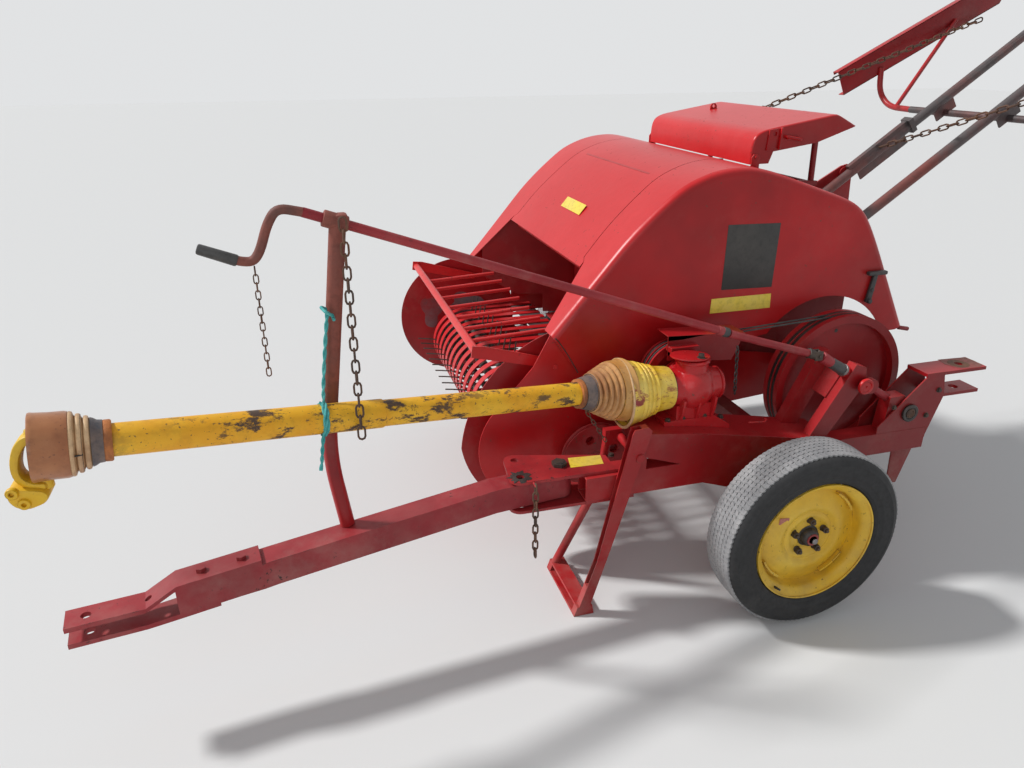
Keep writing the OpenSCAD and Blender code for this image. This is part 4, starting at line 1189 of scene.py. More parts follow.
    def latch(self) -> None:
        """Adds the rubber latch behind the arch and the short rods."""
        shop = self.shop
        x = self.mid + self.half
        corners = [place(x + 3, y, z) for y, z in ((522, 876), (545, 880), (556, 975), (538, 978))]
        strap = [shop.slab("latch_strap", corners, LEFT * 0.012, 0.003),
                 shop.block("latch_grip", place(x + 1, 512, 976), place(x + 22, 590, 990), 0.004),
                 shop.bar("latch_pin", (x - 2, 534, 880), (x + 24, 534, 880), 9, 16, None, 0.002),
                 shop.bar("latch_pin_2", (x - 2, 540, 920), (x + 19, 540, 920), 7, 16, None, 0.002)]
        shop.fixed(shop.join("rubber_latch", strap), "black_plastic", Slot.BELT)

    def build(self) -> None:
        """Builds the whole hood."""
        self.dress_left()
        self.dress_right()
        self.shop.fixed(self.middle(), "hood_red", Slot.RED, "hood_centre")
        self.labels()
        self.latch()


@dataclass
class KnotterCover:
    """Lid over the knotters with its handle, side bracket and lifting eye."""

    shop: Workshop
    mid: float = -150.0
    half: float = 401.0

    def build(self) -> None:
        """Builds the cover."""
        shop = self.shop
        top = softened([(104, 1354.5), (105, 1420), (118, 1452), (150, 1468), (196, 1476), (430, 1514),
                        (446, 1512), (523, 1473)], 26.0, 3)
        outline = [*top, (365, 1420), (192, 1396), (178, 1356)]
        keep = set(range(len(top) - 1))
        lid = shop.shell("lid_shell", outline, self.mid + self.half, self.mid - self.half, keep,
                         (True, True), 0.009, 0.0026)
        side = self.mid + self.half
        bracket = shop.plate("side_bracket", side, side + 5,
                             [(160, 1400), (208, 1405), (212, 1474), (166, 1470)], 0.0012)
        hole = shop.bar("hole_cut", (side - 6, 188, 1456), (side + 8, 188, 1456), 8)
        web = shop.plate("bracket_web", side, side + 13, [
            (205, 1404), (212, 1405), (215, 1476), (208, 1475)], 0.001)
        grip = shop.tube("lid_handle", rounded([
            place(side, 232, 1446), place(side + 13, 232, 1446), place(side + 13, 292, 1434),
            place(side, 292, 1434)], 0.01), 0.005)
        plate = shop.block("handle_plate", place(side + 2, 236, 1436), place(side + 14, 288, 1444), 0.002)
        eye = shop.plate("lid_eye", self.mid - 250, self.mid - 243,
                         [(300, 1488), (330, 1492), (330, 1508), (322, 1518), (308, 1518), (300, 1508)],
                         0.001)
        eye_hole = shop.bar("eye_cut", (self.mid - 260, 315, 1507), (self.mid - 230, 315, 1507), 6.5)
        piece = shop.join("knotter_lid", [
            lid, shop.cut(bracket, hole), web, grip, plate, shop.cut(eye, eye_hole)])
        shop.finish(piece, "hood_red", Body.COVER, Slot.RED, "knotter_cover")


@dataclass
class RoadWheel:
    """One road wheel: pressed rim, tyre with its tread, nuts and hub cap."""

    shop: Workshop
    sign: int
    centre_x: float = 947.5
    height: float = 308.0
    pitches: int = 112
    crown: float = 308.0
    base: float = 307.0

    def axis(self) -> Vector:
        """Gives the direction out of the machine."""
        return Vector((float(self.sign), 0.0, 0.0))

    def hub(self) -> Point:
        """Gives the middle of the wheel in millimetres."""
        return (self.sign * self.centre_x, 0.0, self.height)

    def rim(self) -> Piece:
        """Builds the pressed rim with slots at the edge of its dish.

        Returns:
            The rim.
        """
        shop = self.shop
        face = [(202, 73), (206.5, 74.5), (207, 70), (203, 68), (198, 65), (193, 62), (184, 56),
                (178.5, 48), (177, 40), (176.5, 22), (174, 15.5), (166, 16), (158, 18.5), (145, 24),
                (132, 29.5), (118, 34.5), (106, 36), (98, 34), (92, 29), (86, 27.5), (80, 30.5), (73, 31.5),
                (66, 29), (58, 26), (50, 25.5), (44, 27), (40, 29.5), (37, 28), (37, 22)]
        back = [(r, a - 5.0) for r, a in reversed(face[10:27])]
        wall = [(173, 10), (173, -52), (179, -58), (195, -64), (200, -68), (201, -74), (206, -75),
                (207, -70), (204, -67), (201, -60), (183, -53), (181.5, -20), (181.5, 46), (187, 54),
                (200, 61), (207, 66)]
        piece = shop.spun("rim_pressing", [*face, *back, *wall], self.hub(), self.axis(), 96, 50.0)
        slots = []
        for start in (25.0, 115.0, 205.0, 295.0):
            arc = [math.radians(start + i * 6.5) for i in range(6)]
            ring = [(167.5, t) for t in arc] + [(160.5, t) for t in reversed(arc)]
            outline = [place(self.sign * (self.centre_x + 2), r * math.cos(t),
                             self.height + r * math.sin(t)) for r, t in ring]
            slots.append(shop.slab("slot_cut", outline, Vector((self.sign * 0.03, 0.0, 0.0)), 0.0))
        return shop.cut(piece, shop.join("slot_cut", slots))

    def carcass(self) -> Piece:
        """Builds the tyre body with its sidewall rings.

        Returns:
            The tyre body.
        """
        half = [(207.6, 0), (207.6, 62), (209, 68), (213, 73.5), (219, 75.5), (221, 77.3), (224, 77.4),
                (226, 77), (238, 80.2), (240, 81.6), (243, 81.7), (246, 81.4), (262, 82.5), (272, 81.6),
                (274, 82.6), (277, 82.2), (279, 80.2), (287, 77), (294, 72.5), (299, 66), (301.2, 58),
                (302.4, 30), (302.8, 0)]
        profile = [*half, *((r, -a) for r, a in reversed(half[1:-1]))]
        return self.shop.spun("tyre_body", profile, self.hub(), self.axis(), 96, 40.0)

    def tread(self) -> Piece:
        """Builds one row of tread blocks and repeats it round the tyre.

        Returns:
            The tread.
        """
        shop = self.shop
        step = math.tau * self.base / self.pitches
        rows = []
        for number, (middle, width) in enumerate(((-53.0, 20.0), (-34.0, 15.0), (-17.0, 15.0), (0.0, 15.0),
                (17.0, 15.0), (34.0, 15.0), (53.0, 20.0))):
            shift = step * (0.22 * number)
            slant = 3.4 if number % 2 else -3.4
            low, high = -step / 2 + 0.4 + shift, step / 2 - 0.4 + shift
            side = width / 2
            outline = [(middle - side - 1.6, low), (middle, low + slant), (middle + side - 1.6, low),
                       (middle + side + 1.6, low + step * 0.5), (middle + side - 1.6, high),
                       (middle, high + slant), (middle - side - 1.6, high),
                       (middle - side + 1.6, low + step * 0.5)]
            drop = 3.2 if abs(middle) > 40 else 0.0
            corners = []
            for across, along in outline:
                fall = drop * max(0.0, (abs(across) - 40.0) / 24.0)
                radius, turn = self.crown - fall, along / self.base
                corners.append(place(self.sign * self.centre_x + across, radius * math.sin(turn),
                                     self.height + radius * math.cos(turn)))
            rows.append(shop.slab("tread_block", corners, Vector((0.0, 0.0, -0.007)), 0.0))
        return shop.ring(shop.join("tread_row", rows), self.pitches, place(*self.hub()), LEFT)

    def nuts(self) -> Piece:
        """Builds five nuts with their stud ends.

        Returns:
            The nuts.
        """
        shop = self.shop
        x, out = self.sign * (self.centre_x + 26.0), self.axis()
        spot = (x, 0.0, self.height + 57.0)
        cone = shop.rod("nut", place(*spot), place(*spot) + out * 0.006, 0.0125, 20, 0.010)
        nut = shop.rod("nut", place(*spot) + out * 0.006, place(*spot) + out * 0.019, 0.0118, 6, None,
                       0.002)
        stud = shop.rod("nut", place(*spot) + out * 0.018, place(*spot) + out * 0.026, 0.0062, 14, 0.0056,
                        0.0008)
        return shop.ring(shop.join("wheel_nuts", [cone, nut, stud]), 5, place(*self.hub()), LEFT)

    def build(self, body: Body, name: str) -> None:
        """Builds the wheel and lets it ride on its body.

        Args:
            body: Body of the wheel.
            name: Side of the wheel, for the names of its pieces.
        """
        shop = self.shop
        x = self.sign * self.centre_x
        rim = self.rim()
        shop.finish(rim, "rim_yellow", body, Slot.YELLOW, f"{name}_rim")
        rim.name = f"{name}_rim_pressing"
        tyre = shop.join(f"{name}_tyre_body", [self.carcass()])
        shop.finish(tyre, "tyre_rubber", body, Slot.TYRE, f"{name}_tyre")
        tread = self.tread()
        tread.name = f"{name}_tread"
        shop.finish(tread, "tread_rubber", body, Slot.TYRE)
        nuts = self.nuts()
        nuts.name = f"{name}_wheel_nuts"
        shop.finish(nuts, "dark_nut", body, Slot.STEEL)
        profile = [(0, 56), (14, 56), (24, 52), (30, 44), (31, 30), (36.5, 28), (36.5, 20), (0, 20)]
        cap = shop.spun(f"{name}_hub_cap", profile, self.hub(), self.axis(), 40)
        shop.finish(cap, "black_grease", body, Slot.STEEL)
        stub = shop.spun(f"{name}_hub_nut", [(0, 61), (8, 61), (10, 59), (10, 52), (0, 52)],
                         (x, 7.0, self.height - 6.0), self.axis(), 20)
        shop.finish(stub, "worn_steel", body, Slot.STEEL)
        valve = shop.bar(f"{name}_valve", (x + self.sign * 60, -120, self.height - 150),
                         (x + self.sign * 84, -116, self.height - 146), 4.2, 14, 3.4, 0.0008)
        shop.finish(valve, "black_plastic", body, Slot.TYRE)
        if self.sign > 0:
            spots = [(-84, 84), (-114, 84), (-116, 62), (-86, 62)]
            corners = [place(x + 31.5 + (2.6 if y > -100 else -2.0), y, self.height + z) for y, z in spots]
            shop.finish(shop.slab("rim_sticker", corners, LEFT * 0.0012, 0.0), "label_red", body,
                        Slot.YELLOW)


@dataclass
class DriveShaft:
    """Guard tube of the drive shaft with its bells, ribs, collars and clamps."""

    shop: Workshop
    rear: Point = (650.0, -505.0, 742.0)
    front: Point = (940.0, -2070.0, 920.0)

    def along(self) -> Vector:
        """Gives the direction from the rear end to the front end."""
        return (place(*self.front) - place(*self.rear)).normalized()

    def turned(self, name: str, profile: Profile, steps: int = 56) -> Piece:
        """Spins a profile on the shaft's line, with distances from its rear end."""
        return self.shop.spun(name, profile, self.rear, self.along(), steps)

    @staticmethod
    def ribs(first: float, radii: Sequence[float], pitch: float, grow: float) -> list[Pair]:
        """Gives the outer line of stepped ribs.

        Args:
            first: Distance of the first rib.
            radii: Radius of each rib in turn.
            pitch: Distance from rib to rib, with its sign.
            grow: Depth of the groove between two ribs.

        Returns:
            Pairs of radius and distance.
        """
        line = []
        for i, radius in enumerate(radii):
            spot = first + i * pitch
            line += [(radius - grow, spot), (radius - 1.5, spot + pitch * 0.12),
                     (radius, spot + pitch * 0.30), (radius, spot + pitch * 0.52),
                     (radius - 1.5, spot + pitch * 0.70), (radius - grow, spot + pitch * 0.82)]
        return line

    def front_bell(self) -> None:
        """Builds the bell at the tractor end."""
        shop = self.shop
        bell = self.turned("front_bell", [
            (70, 1604), (77, 1608), (78.5, 1604), (77.5, 1598), (76, 1570), (76, 1538), (74.5, 1531),
            (66, 1528), (66, 1524), (71, 1530), (72.5, 1540), (72.5, 1590)])
        shop.fixed(bell, "bell_brown", Slot.GUARD, "shaft_cones")
        line = self.ribs(1533, (74, 68, 62), -15.5, 6.5)
        ribs = self.turned("front_bell_ribs", [*line, (50, 1486), (50, 1530)])
        shop.fixed(ribs, "rib_cream", Slot.GUARD)
        collar = self.turned("front_collar", [
            (57, 1488), (55, 1482), (50, 1474), (49, 1463), (40, 1463), (40, 1488)])
        shop.fixed(collar, "collar_dark", Slot.GUARD)
        ring = self.turned("front_ring", [
            (47.5, 1463), (48.5, 1460), (48.5, 1448), (46, 1445), (39.6, 1445), (39.6, 1463)])
        shop.fixed(ring, "ring_rust", Slot.RUST)
        wire = self.turned("front_wire", [(64, 1508), (65.6, 1508), (65.6, 1505.6), (64, 1505.6)], 40)
        knot = shop.rod("front_wire_knot", wire.data.vertices[3].co.copy(),
                        wire.data.vertices[3].co + Vector((0.012, -0.012, 0.004)), 0.002, 8)
        shop.fixed(shop.join("front_wire", [wire, knot]), "black_grease", Slot.STEEL)

    def rear_bell(self) -> None:
        """Builds the ribbed bell at the machine end."""
        shop = self.shop
        flare = self.turned("rear_bell", [
            (92, 22), (99, 20), (100.5, 24), (98, 30), (94.5, 44), (93, 66), (89, 66), (90, 44), (93, 30)])
        shop.fixed(flare, "cone_brown", Slot.GUARD)
        ribs = self.turned("rear_bell_ribs", [
            *self.ribs(66, (91, 84, 77, 70, 62), 15.5, 8.0), (42, 140), (42, 66)])
        shop.fixed(ribs, "rib_orange", Slot.GUARD)
        collar = self.turned("rear_collar", [
            (55, 142), (54, 146), (51, 160), (48, 172), (36.6, 172), (36.6, 142)])
        shop.fixed(collar, "collar_dark", Slot.GUARD)
        ring = self.turned("rear_ring", [(45, 173), (46, 176), (45, 186), (36.6, 187), (36.6, 173)])
        shop.fixed(ring, "ring_rust", Slot.RUST)
        wire = self.turned("rear_wire", [(57, 138), (58.8, 139.5), (57, 141), (55.4, 139.5)], 40)
        shop.fixed(wire, "black_grease", Slot.STEEL)

    def gear_cone(self) -> None:
        """Builds the stepped yellow cone on the gearbox and its cream rim."""
        shop = self.shop
        back = Vector((0.0, -1.0, 0.0))
        start = (650.0, -361.0, 730.0)
        out = [(62, 0), (67, 0), (69.5, 8), (73, 40), (76, 58), (82, 64), (82.5, 70), (80, 74), (86, 80),
               (87.5, 86), (85, 90), (91, 96), (92.5, 102), (90, 106), (96.5, 112), (98, 118), (96, 123),
               (100, 130), (108, 158), (109, 163)]
        inner = [(105.5, 163), (96, 130), (70, 50), (62, 6)]
        cone = shop.spun("gearbox_cone", [*out, *inner], start, back, 64)
        shop.fixed(cone, "cone_yellow", Slot.GUARD)
        rim = shop.spun("gearbox_cone_rim", [
            (104, 163), (110, 162), (112.5, 164), (112.5, 167), (110, 168.5), (104, 168)], start, back, 64)
        shop.fixed(rim, "rib_cream", Slot.GUARD)
        seal = shop.spun("gearbox_seal", [(40, -6), (59, -6), (61, -1), (61, 6), (40, 6)], start, back, 48)
        shop.fixed(seal, "black_grease", Slot.STEEL)

    def tube(self) -> None:
        """Builds the two guard tubes, with a soft lip where the wide one ends."""
        shop = self.shop
        outer = self.turned("guard_tube", [
            (36.4, 801), (38.2, 800), (39, 803), (39.3, 900), (38.7, 1040), (39.2, 1200), (39, 1505),
            (36.4, 1505)], 40)
        inner = self.turned("guard_tube_inner", [
            (26, 116), (36, 116), (35.8, 300), (36.1, 500), (35.9, 880), (26, 880)], 40)
        shop.fixed(shop.join("guard_tubes", [outer, inner]), "guard_yellow", Slot.GUARD, "shaft_guard")

    def build(self) -> None:
        """Builds the whole guard of the shaft."""
        self.front_bell()
        self.rear_bell()
        self.gear_cone()
        self.tube()


@dataclass
class DriveDetails:
    """Small parts on the gearbox, its rail, the spindle, the flywheel and the wagon hitch."""

    shop: Workshop
    box: Point = (650.0, -281.0, 728.0)
    bearing: Point = (755.0, 520.0, 568.0)
    hitch_top: float = 706.2

    def gearbox(self) -> None:
        """Adds ribs, bolts, cap plate and rings to the gearbox."""
        shop = self.shop
        ribs = []
        shape = ((676, 712), (722, 706), (716, 668), (705, 638), (702, 630), (676, 632))
        for y in (-336, -281, -226):
            rib = [place(x, y, z) for x, z in shape]
            ribs.append(shop.slab("gear_rib", rib, Vector((0.0, 0.009, 0.0)), 0.002))
        ring = shop.spun("gear_ring", [(30, 88), (50, 88), (53, 90), (53, 95), (50, 99), (30, 99)],
                         self.box, Vector((0, 1, 0)), 48)
        hub = shop.spun("gear_cap_ring", [
            (0, 84), (54, 84), (56, 87), (56, 92), (52, 96), (20, 97), (18, 99), (0, 99)], self.box, UP, 48)
        oval = [place(652 + 47 * math.cos(t), -292 + 68 * math.sin(t), 828 - 5 * math.sin(t))
                for t in (math.tau * k / 28 for k in range(28))]
        plate = shop.slab("gear_cap", oval, UP * 0.006, 0.0022)
        shop.fixed(shop.join("gearbox_ribs", [*ribs, ring, hub, plate]), "gear_red", Slot.RED)
        spots = ((690, -372, 629.5), (690, -320, 632.2), (690, -243, 632.2), (690, -182, 617.0),
                 (610, -372, 629.5), (610, -182, 617.0))
        bolts = [shop.bolt("gear_bolt", spot, UP, 9.0) for spot in spots]
        bolts.append(shop.bolt("gear_cap_nut", (680, -268, 832.5), UP, 10.5, 12.0))
        shop.fixed(shop.join("gearbox_bolts", bolts), "dark_nut", Slot.STEEL)

    def spindle(self) -> None:
        """Adds the bosses, sleeve and rings of the spindle, and builds its rods and their joint."""
        shop = self.shop
        boss = shop.spun("spindle_boss", [
            (0, 0), (27, 0), (28, 2), (28, 9), (26, 12), (20, 13), (17, 10), (4, 10), (3, 7), (0, 7)],
                         (755, 312, 694), LEFT, 40)
        collar = shop.bar("spindle_collar", (711, 252, 742), (712, 268, 733), 21, 28, None, 0.002)
        shop.fixed(shop.join("spindle_bosses", [boss, collar]), "bright_red", Slot.RED)
        sleeve = shop.bar("rubber_sleeve", (719, 190, 779), (719, 250, 742), 18, 32, 20, 0.003)
        shop.fixed(sleeve, "black_plastic", Slot.BELT)
        band = shop.bar("sleeve_band", (719, 240, 748), (719, 248, 743), 21.5, 32, None, 0.001)
        shop.fixed(band, "worn_steel", Slot.STEEL)
        ring = shop.bar("rod_ring", (720.7, -228, 930.3), (720, -208, 923), 15.2, 24, None, 0.002)
        shop.finish(ring, "black_plastic", Body.DRAWBAR, Slot.BELT)
        rods = [shop.tube("spindle_rod", [
            place(720.6, -203, 920.6), place(720, -168, 908), place(720, 108, 818.6)], 0.0125, 4),
                shop.bar("rear_rod", (720, 152, 803), (720, 500, 587), 13.0, 24, None, 0.001),
                shop.bar("rod_root", (720, 150, 804), (720, 192, 778), 19, 24, 17, 0.003)]
        shop.fixed(shop.join("spindle_rods", rods), "bar_red", Slot.RED, "lift_spindle")
        forks = [shop.bar("joint_fork", (720, 96, 823), (720, 122, 813), 17, 24, 15, 0.003),
                 shop.block("joint_ear", place(705, 116, 796), place(711, 146, 828), 0.003),
                 shop.block("joint_ear", place(729, 116, 796), place(735, 146, 828), 0.003),
                 shop.bar("joint_cross", (700, 134, 811), (740, 134, 811), 6.5, 16, None, 0.001),
                 shop.bar("joint_cross", (720, 128, 794), (720, 142, 826), 6.5, 16, None, 0.001)]
        shop.fixed(shop.join("rod_joint", forks), "dark_nut", Slot.STEEL)

    def wheel_grooves(self) -> None:
        """Adds black rings of painted shade in the flywheel's two belt grooves, and a black disc of painted
        shade for its small hole.
        """
        shop = self.shop
        # Black rings of painted shade that lie in the two belt grooves.
        rings = [shop.spun("groove_shade_ring", [
            (244, -5.5), (250.5, -8), (253.5, -6), (253.5, 6), (250.5, 8), (244, 5.5)], (x, 365, 620), LEFT,
                           96) for x in (519, 541)]
        shop.finish(shop.join("groove_shade_rings", rings), "black_grease", Body.FLYWHEEL, Slot.BELT)
        # A flat black disc of painted shade stands for the small hole in the flywheel.
        spot = shop.spun("flywheel_hole_shade", [(0, 0), (7, 0), (7, 0.5), (0, 0.5)], (542, 340, 815), LEFT, 20)
        shop.finish(spot, "black_grease", Body.FLYWHEEL, Slot.BELT)

    def rail(self) -> None:
        """Adds the eye bolt on the rail and the short roller chain behind it."""
        shop = self.shop
        rod = shop.tube("rail_eye", rounded([
            place(757, -118, 620), place(757, -58, 614), place(757, -52, 622), place(757, -60, 626)],
                0.006), 0.0028)
        shop.fixed(rod, "bright_red", Slot.RED)
        run = shop.chain("roller_chain", (660, -128, 848), (660, -118, 680), 13, 4.0, 13.0)
        shop.fixed(run, "black_grease", Slot.STEEL)

    def hitch(self) -> None:
        """Adds the bearing, bolts and worn hole of the wagon hitch, the rear leg and the hood's peg."""
        shop = self.shop
        ring = shop.spun("hitch_ring", [(14, 0), (30, 0), (31.5, 2), (31.5, 9), (29, 11), (22, 10), (20, 7),
                                        (14, 7)], self.bearing, LEFT, 40)
        core = shop.spun("hitch_core", [(0, 3), (17, 3), (17, 10), (12, 13), (9, 10), (0, 10)],
                         self.bearing, LEFT, 28)
        shop.fixed(ring, "black_grease", Slot.STEEL)
        shop.fixed(core, "rusty_steel", Slot.RUST)
        spots = ((452, 596, 7), (596, 548, 8), (628, 640, 8))
        bolts = [shop.bolt("hitch_bolt", (755, y, z), LEFT, r) for y, z, r in spots]
        shop.fixed(shop.join("hitch_bolts", bolts), "dark_nut", Slot.STEEL)
        patch = shop.spun("hitch_wear", [
            (13.6, 706.3), (34, 706.3), (36, 706.6), (34, 707.0), (13.6, 707.0)], (707, 740, 0), UP, 36)
        shop.fixed(patch, "rusty_steel", Slot.RUST)
        leg = shop.plate("rear_leg", 716, 722, [(515, 404), (604, 404), (563, 264), (522, 264)], 0.001)
        # shade_red darkens the rear leg with painted shade.
        shop.fixed(leg, "shade_red", Slot.RED)
        rubbed = ((655, 700), (660, 770), (664, 812), (700, 815.5), (742, 812), (752, 790), (753, 742),
                  (738, 706), (700, 690))
        worn = shop.slab("hitch_worn", [place(x, y, self.hitch_top) for x, y in rubbed], UP * 0.0004, 0.0)
        worn = shop.cut(worn, shop.bar("hole_cut", (707, 740, 690), (707, 740, 720), 15))
        shop.fixed(worn, "plate_worn", Slot.RUST)
        peg = shop.bar("hood_peg", (430, 715, 752), (430, 760, 742), 8, 16, None, 0.001)
        shop.fixed(peg, "bar_red", Slot.RED)

    def build(self) -> None:
        """Builds all small parts."""
        self.gearbox()
        self.spindle()
        self.wheel_grooves()
        self.rail()
        self.hitch()


@dataclass
class Chains:
    """Hanging chains and the stay chains of the chute."""

    shop: Workshop

    def build(self) -> None:
        """Builds the chains with round links."""
        shop = self.shop
        runs = [shop.chain("post_chain", (794, -1346, 1356), (866, -1350, 800), 19, 6.0, 24.0),
                shop.chain("crank_chain", (760, -1562, 1244.5), (760, -1562, 960), 14, 3.6, 15.0)]
        shop.finish(shop.join("post_chain_runs", runs), "rusty_steel", Body.DRAWBAR, Slot.RUST,
                    "post_chains")
        bell = shop.chain("bell_chain", (684, -661, 714), (690, -584, 588), 8, 3.4, 12.0)
        shop.fixed(bell, "rusty_steel", Slot.RUST)
        pin = shop.chain("pin_chain", (757, -838, 510), (757, -838, 248), 9, 6.0, 22.0)
        shop.fixed(pin, "rusty_steel", Slot.RUST, "lock_pin_chain")
        stays = [shop.chain("stay_chain", (-299, 1117, 1322), (470, 1237, 1604), 20, 7.0, 26.0),
                 shop.chain("stay_chain_far", (-590, 452, 1400), (-752, 1985, 1862), 36, 7.0, 26.0)]
        shop.finish(shop.join("stay_chain_runs", stays), "rusty_steel", Body.CHUTE, Slot.RUST,
                    "stay_chains")


@dataclass
class CrankGear:
    """Post, long rod, cranked handle and grip of the height setting."""

    shop: Workshop

    def build(self) -> None:
        """Builds the post, the cranked handle with its grip and the long rod."""
        shop = self.shop
        foot, knee, top = place(722, -1404, 457), place(722, -1436, 700), place(760, -1354, 1352)
        path = rounded([foot, knee, top], 0.11, 8)
        split = max(i for i, p in enumerate(path) if p.z < 0.80)
        joint = path[split].lerp(path[split + 1], 0.2)
        low = shop.tube("post_low", [*path[:split + 1], joint], 0.0215, 5)
        shop.finish(low, "frame_red", Body.DRAWBAR, Slot.RED)
        high = shop.tube("post_high", [joint, *path[split + 1:]], 0.0212, 5)
        head, tail = Vector((765.0, -1493.0, 1391.0)), Vector((720.0, -208.0, 923.0))
        spots = [head + (tail - head) * t for t in (0.080, 0.125)]
        ring = shop.bar("post_ring", tuple(spots[0]), tuple(spots[1]), 21, 28, None, 0.003)
        lug = shop.block("post_lug", place(740, -1362, 1318), place(780, -1330, 1362), 0.008)
        shop.finish(shop.join("crank_post_top", [high, ring, lug]), "rod_rust", Body.DRAWBAR, Slot.RUST,
                    "crank_post")
        bends = [place(762, -1436, 1370), place(765, -1494, 1384), place(762, -1521, 1345),
                 place(760, -1543, 1284), place(760, -1563, 1257), place(760, -1596, 1261),
                 place(760, -1640, 1279)]
        handle = shop.tube("crank_handle", [*rounded(bends, 0.03, 5)], 0.0118, 4)
        shop.finish(handle, "rod_rust", Body.DRAWBAR, Slot.RUST)
        grip = shop.bar("crank_grip", (760, -1598, 1262), (760, -1686, 1298), 14.5, 24, 13.0, 0.005)
        shop.finish(grip, "black_plastic", Body.DRAWBAR, Slot.BELT)
        shaft = shop.tube("crank_shaft", [place(762, -1436, 1370), place(720, -208, 923)], 0.0125, 4)
        end = shop.bar("crank_end", (721.5, -246, 936.8), (720, -208, 923), 14, 24, None, 0.002)
        shop.finish(shop.join("crank_long_rod", [shaft, end]), "bar_red", Body.DRAWBAR, Slot.RED,
                    "crank_rod")


@dataclass
class ShaftJoints:
    """Universal joints at both ends of the drive shaft and the rope that holds the shaft up.

    The rope is wound on the radius coil, in millimetres. Its two strands lie at the distance lay, in metres,
    from its middle, and turn by the angle twist from one point of the path to the next.
    """

    shop: Workshop
    rear: Point = (650.0, -505.0, 742.0)
    front: Point = (940.0, -2070.0, 920.0)
    coil: float = 42.6
    lay: float = 0.0026
    twist: float = 0.75

    def on(self, t: float, side: float = 0.0, above: float = 0.0) -> Vector:
        """Gives a point beside the shaft's line.

        Args:
            t: Share of the way from the rear to the front end.
            side: Distance to the left in millimetres.
            above: Distance upwards in millimetres.

        Returns:
            The point in the row frame.
        """
        a, b = place(*self.rear), place(*self.front)
        unit = (b - a).normalized()
        left = unit.cross(UP).normalized()
        if left.x < 0.0:
            left.negate()
        rise = unit.cross(left).normalized()
        if rise.z <= 0.0:
            rise.negate()
        return a.lerp(b, t) + left * side / 1000.0 + rise * (above / 1000.0)

    def yoke(self) -> None:
        """Builds the fork at the front cross with its clamp, and the dark joints at both ends."""
        shop = self.shop
        strap = softened([(-2066, 960), (-2084, 956), (-2104, 936), (-2118, 900), (-2121, 868),
                          (-2112, 842), (-2084, 827), (-2058, 824)], 18.0, 3)
        inside = softened([(-2058, 840), (-2082, 842), (-2100, 858), (-2103, 880), (-2094, 912),
                           (-2080, 934), (-2066, 940)], 14.0, 3)
        arm = shop.plate("fork_strap", 920, 966, [*strap, *inside], 0.006)
        clamp = softened([(-2126, 842), (-2062, 828), (-2052, 812), (-2066, 794), (-2098, 784),
                          (-2124, 791), (-2137, 810), (-2137, 832), (-2126, 842)], 10.0, 3)[:-1]
        body = shop.plate("clamp_body", 908, 978, clamp, 0.008)
        bore = shop.bar("bore_cut", (943, -2086, 850), (943, -2108, 760), 17, 28)
        body = shop.cut(body, bore)
        eyes = [shop.spun("clamp_eye", [(5.5, 0), (12, 0), (13.5, 3), (13.5, 11), (12, 14), (5.5, 14)],
                          (970, y, z), LEFT, 28) for y, z in ((-2123, 832), (-2104, 803))]
        caps = [shop.bar("cross_cap", (943, -2064, 966), (943, -2066, 934), 15, 24, None, 0.003),
                shop.bar("cross_cap", (943, -2062, 846), (943, -2061, 820), 15, 24, None, 0.003),
                shop.bar("cross_bar", (943, -2066, 940), (943, -2062, 840), 9, 16)]
        shop.fixed(shop.join("outer_fork", [arm, body, *eyes, *caps]), "yoke_yellow", Slot.YELLOW,
                   "shaft_yoke")
        inner = [shop.rod("front_shaft", self.on(0.947), self.on(0.988), 0.024, 28),
                 shop.rod("front_cross", self.on(0.994, -40), self.on(0.994, 40), 0.0095, 16),
                 shop.rod("fork_root", self.on(0.975), self.on(0.983), 0.042, 28, None, 0.002),
                 shop.bar("gear_shaft", (650, -343, 728), (650, -411, 728), 18, 28),
                 shop.rod("gear_joint", place(650, -411, 728), self.on(0.069), 0.026, 28, None, 0.003)]
        shop.fixed(shop.join("inner_joints", inner), "black_grease", Slot.STEEL)

    def rope(self) -> None:
        """Builds the rope of two twisted strands, wound round the tube."""
        shop = self.shop
        angles = [math.radians(100.0 - 30.0 * k) for k in range(30)]
        turns = [self.on(0.5965 + 0.0022 * (k / 12.0), self.coil * math.cos(a), self.coil * math.sin(a))
                 for k, a in enumerate(angles)]
        lead = [place(772, -1402, 1120), place(774, -1412, 1060), place(782, -1424, 980),
                place(800, -1434, 915)]
        tail = [turns[-1] + Vector((0.004, -0.006, -0.030)), turns[-1] + Vector((0.002, -0.012, -0.075)),
                turns[-1] + Vector((0.006, -0.020, -0.112))]
        path = rounded([*lead, turns[0]], 0.03, 6) + turns[1:] + tail
        steps: list[Vector] = []
        for a, b in zip(path, path[1:]):
            count = max(1, int((b - a).length / 0.006))
            steps += [a.lerp(b, k / count) for k in range(count)]
        strands = []
        for phase in (0.0, math.pi):
            line = []
            for k, (p, q) in enumerate(zip(steps, steps[1:])):
                run = (q - p).normalized()
                side = run.cross(Vector((0.3, 0.5, 0.8))).normalized()
                turn = k * self.twist + phase
                line.append(p + (side * math.cos(turn) + run.cross(side) * math.sin(turn)) * self.lay)
            strands.append(shop.tube("rope_strand", line, 0.0030, 1))
        loops = ((0.006, 0.012, -0.01), (0.020, -0.004, 0.004), (-0.016, -0.016, 0.010),
                 (-0.020, 0.010, -0.006), (0.012, 0.014, -0.02))
        knot = shop.tube("rope_knot", rounded([lead[0] + Vector(v) for v in loops], 0.01, 4), 0.0042, 2)
        shop.fixed(shop.join("twisted_rope", [*strands, knot]), "rope_fibre", Slot.ROPE, "sling_rope")

    def build(self) -> None:
        """Builds both joints and the rope."""
        self.yoke()
        self.rope()


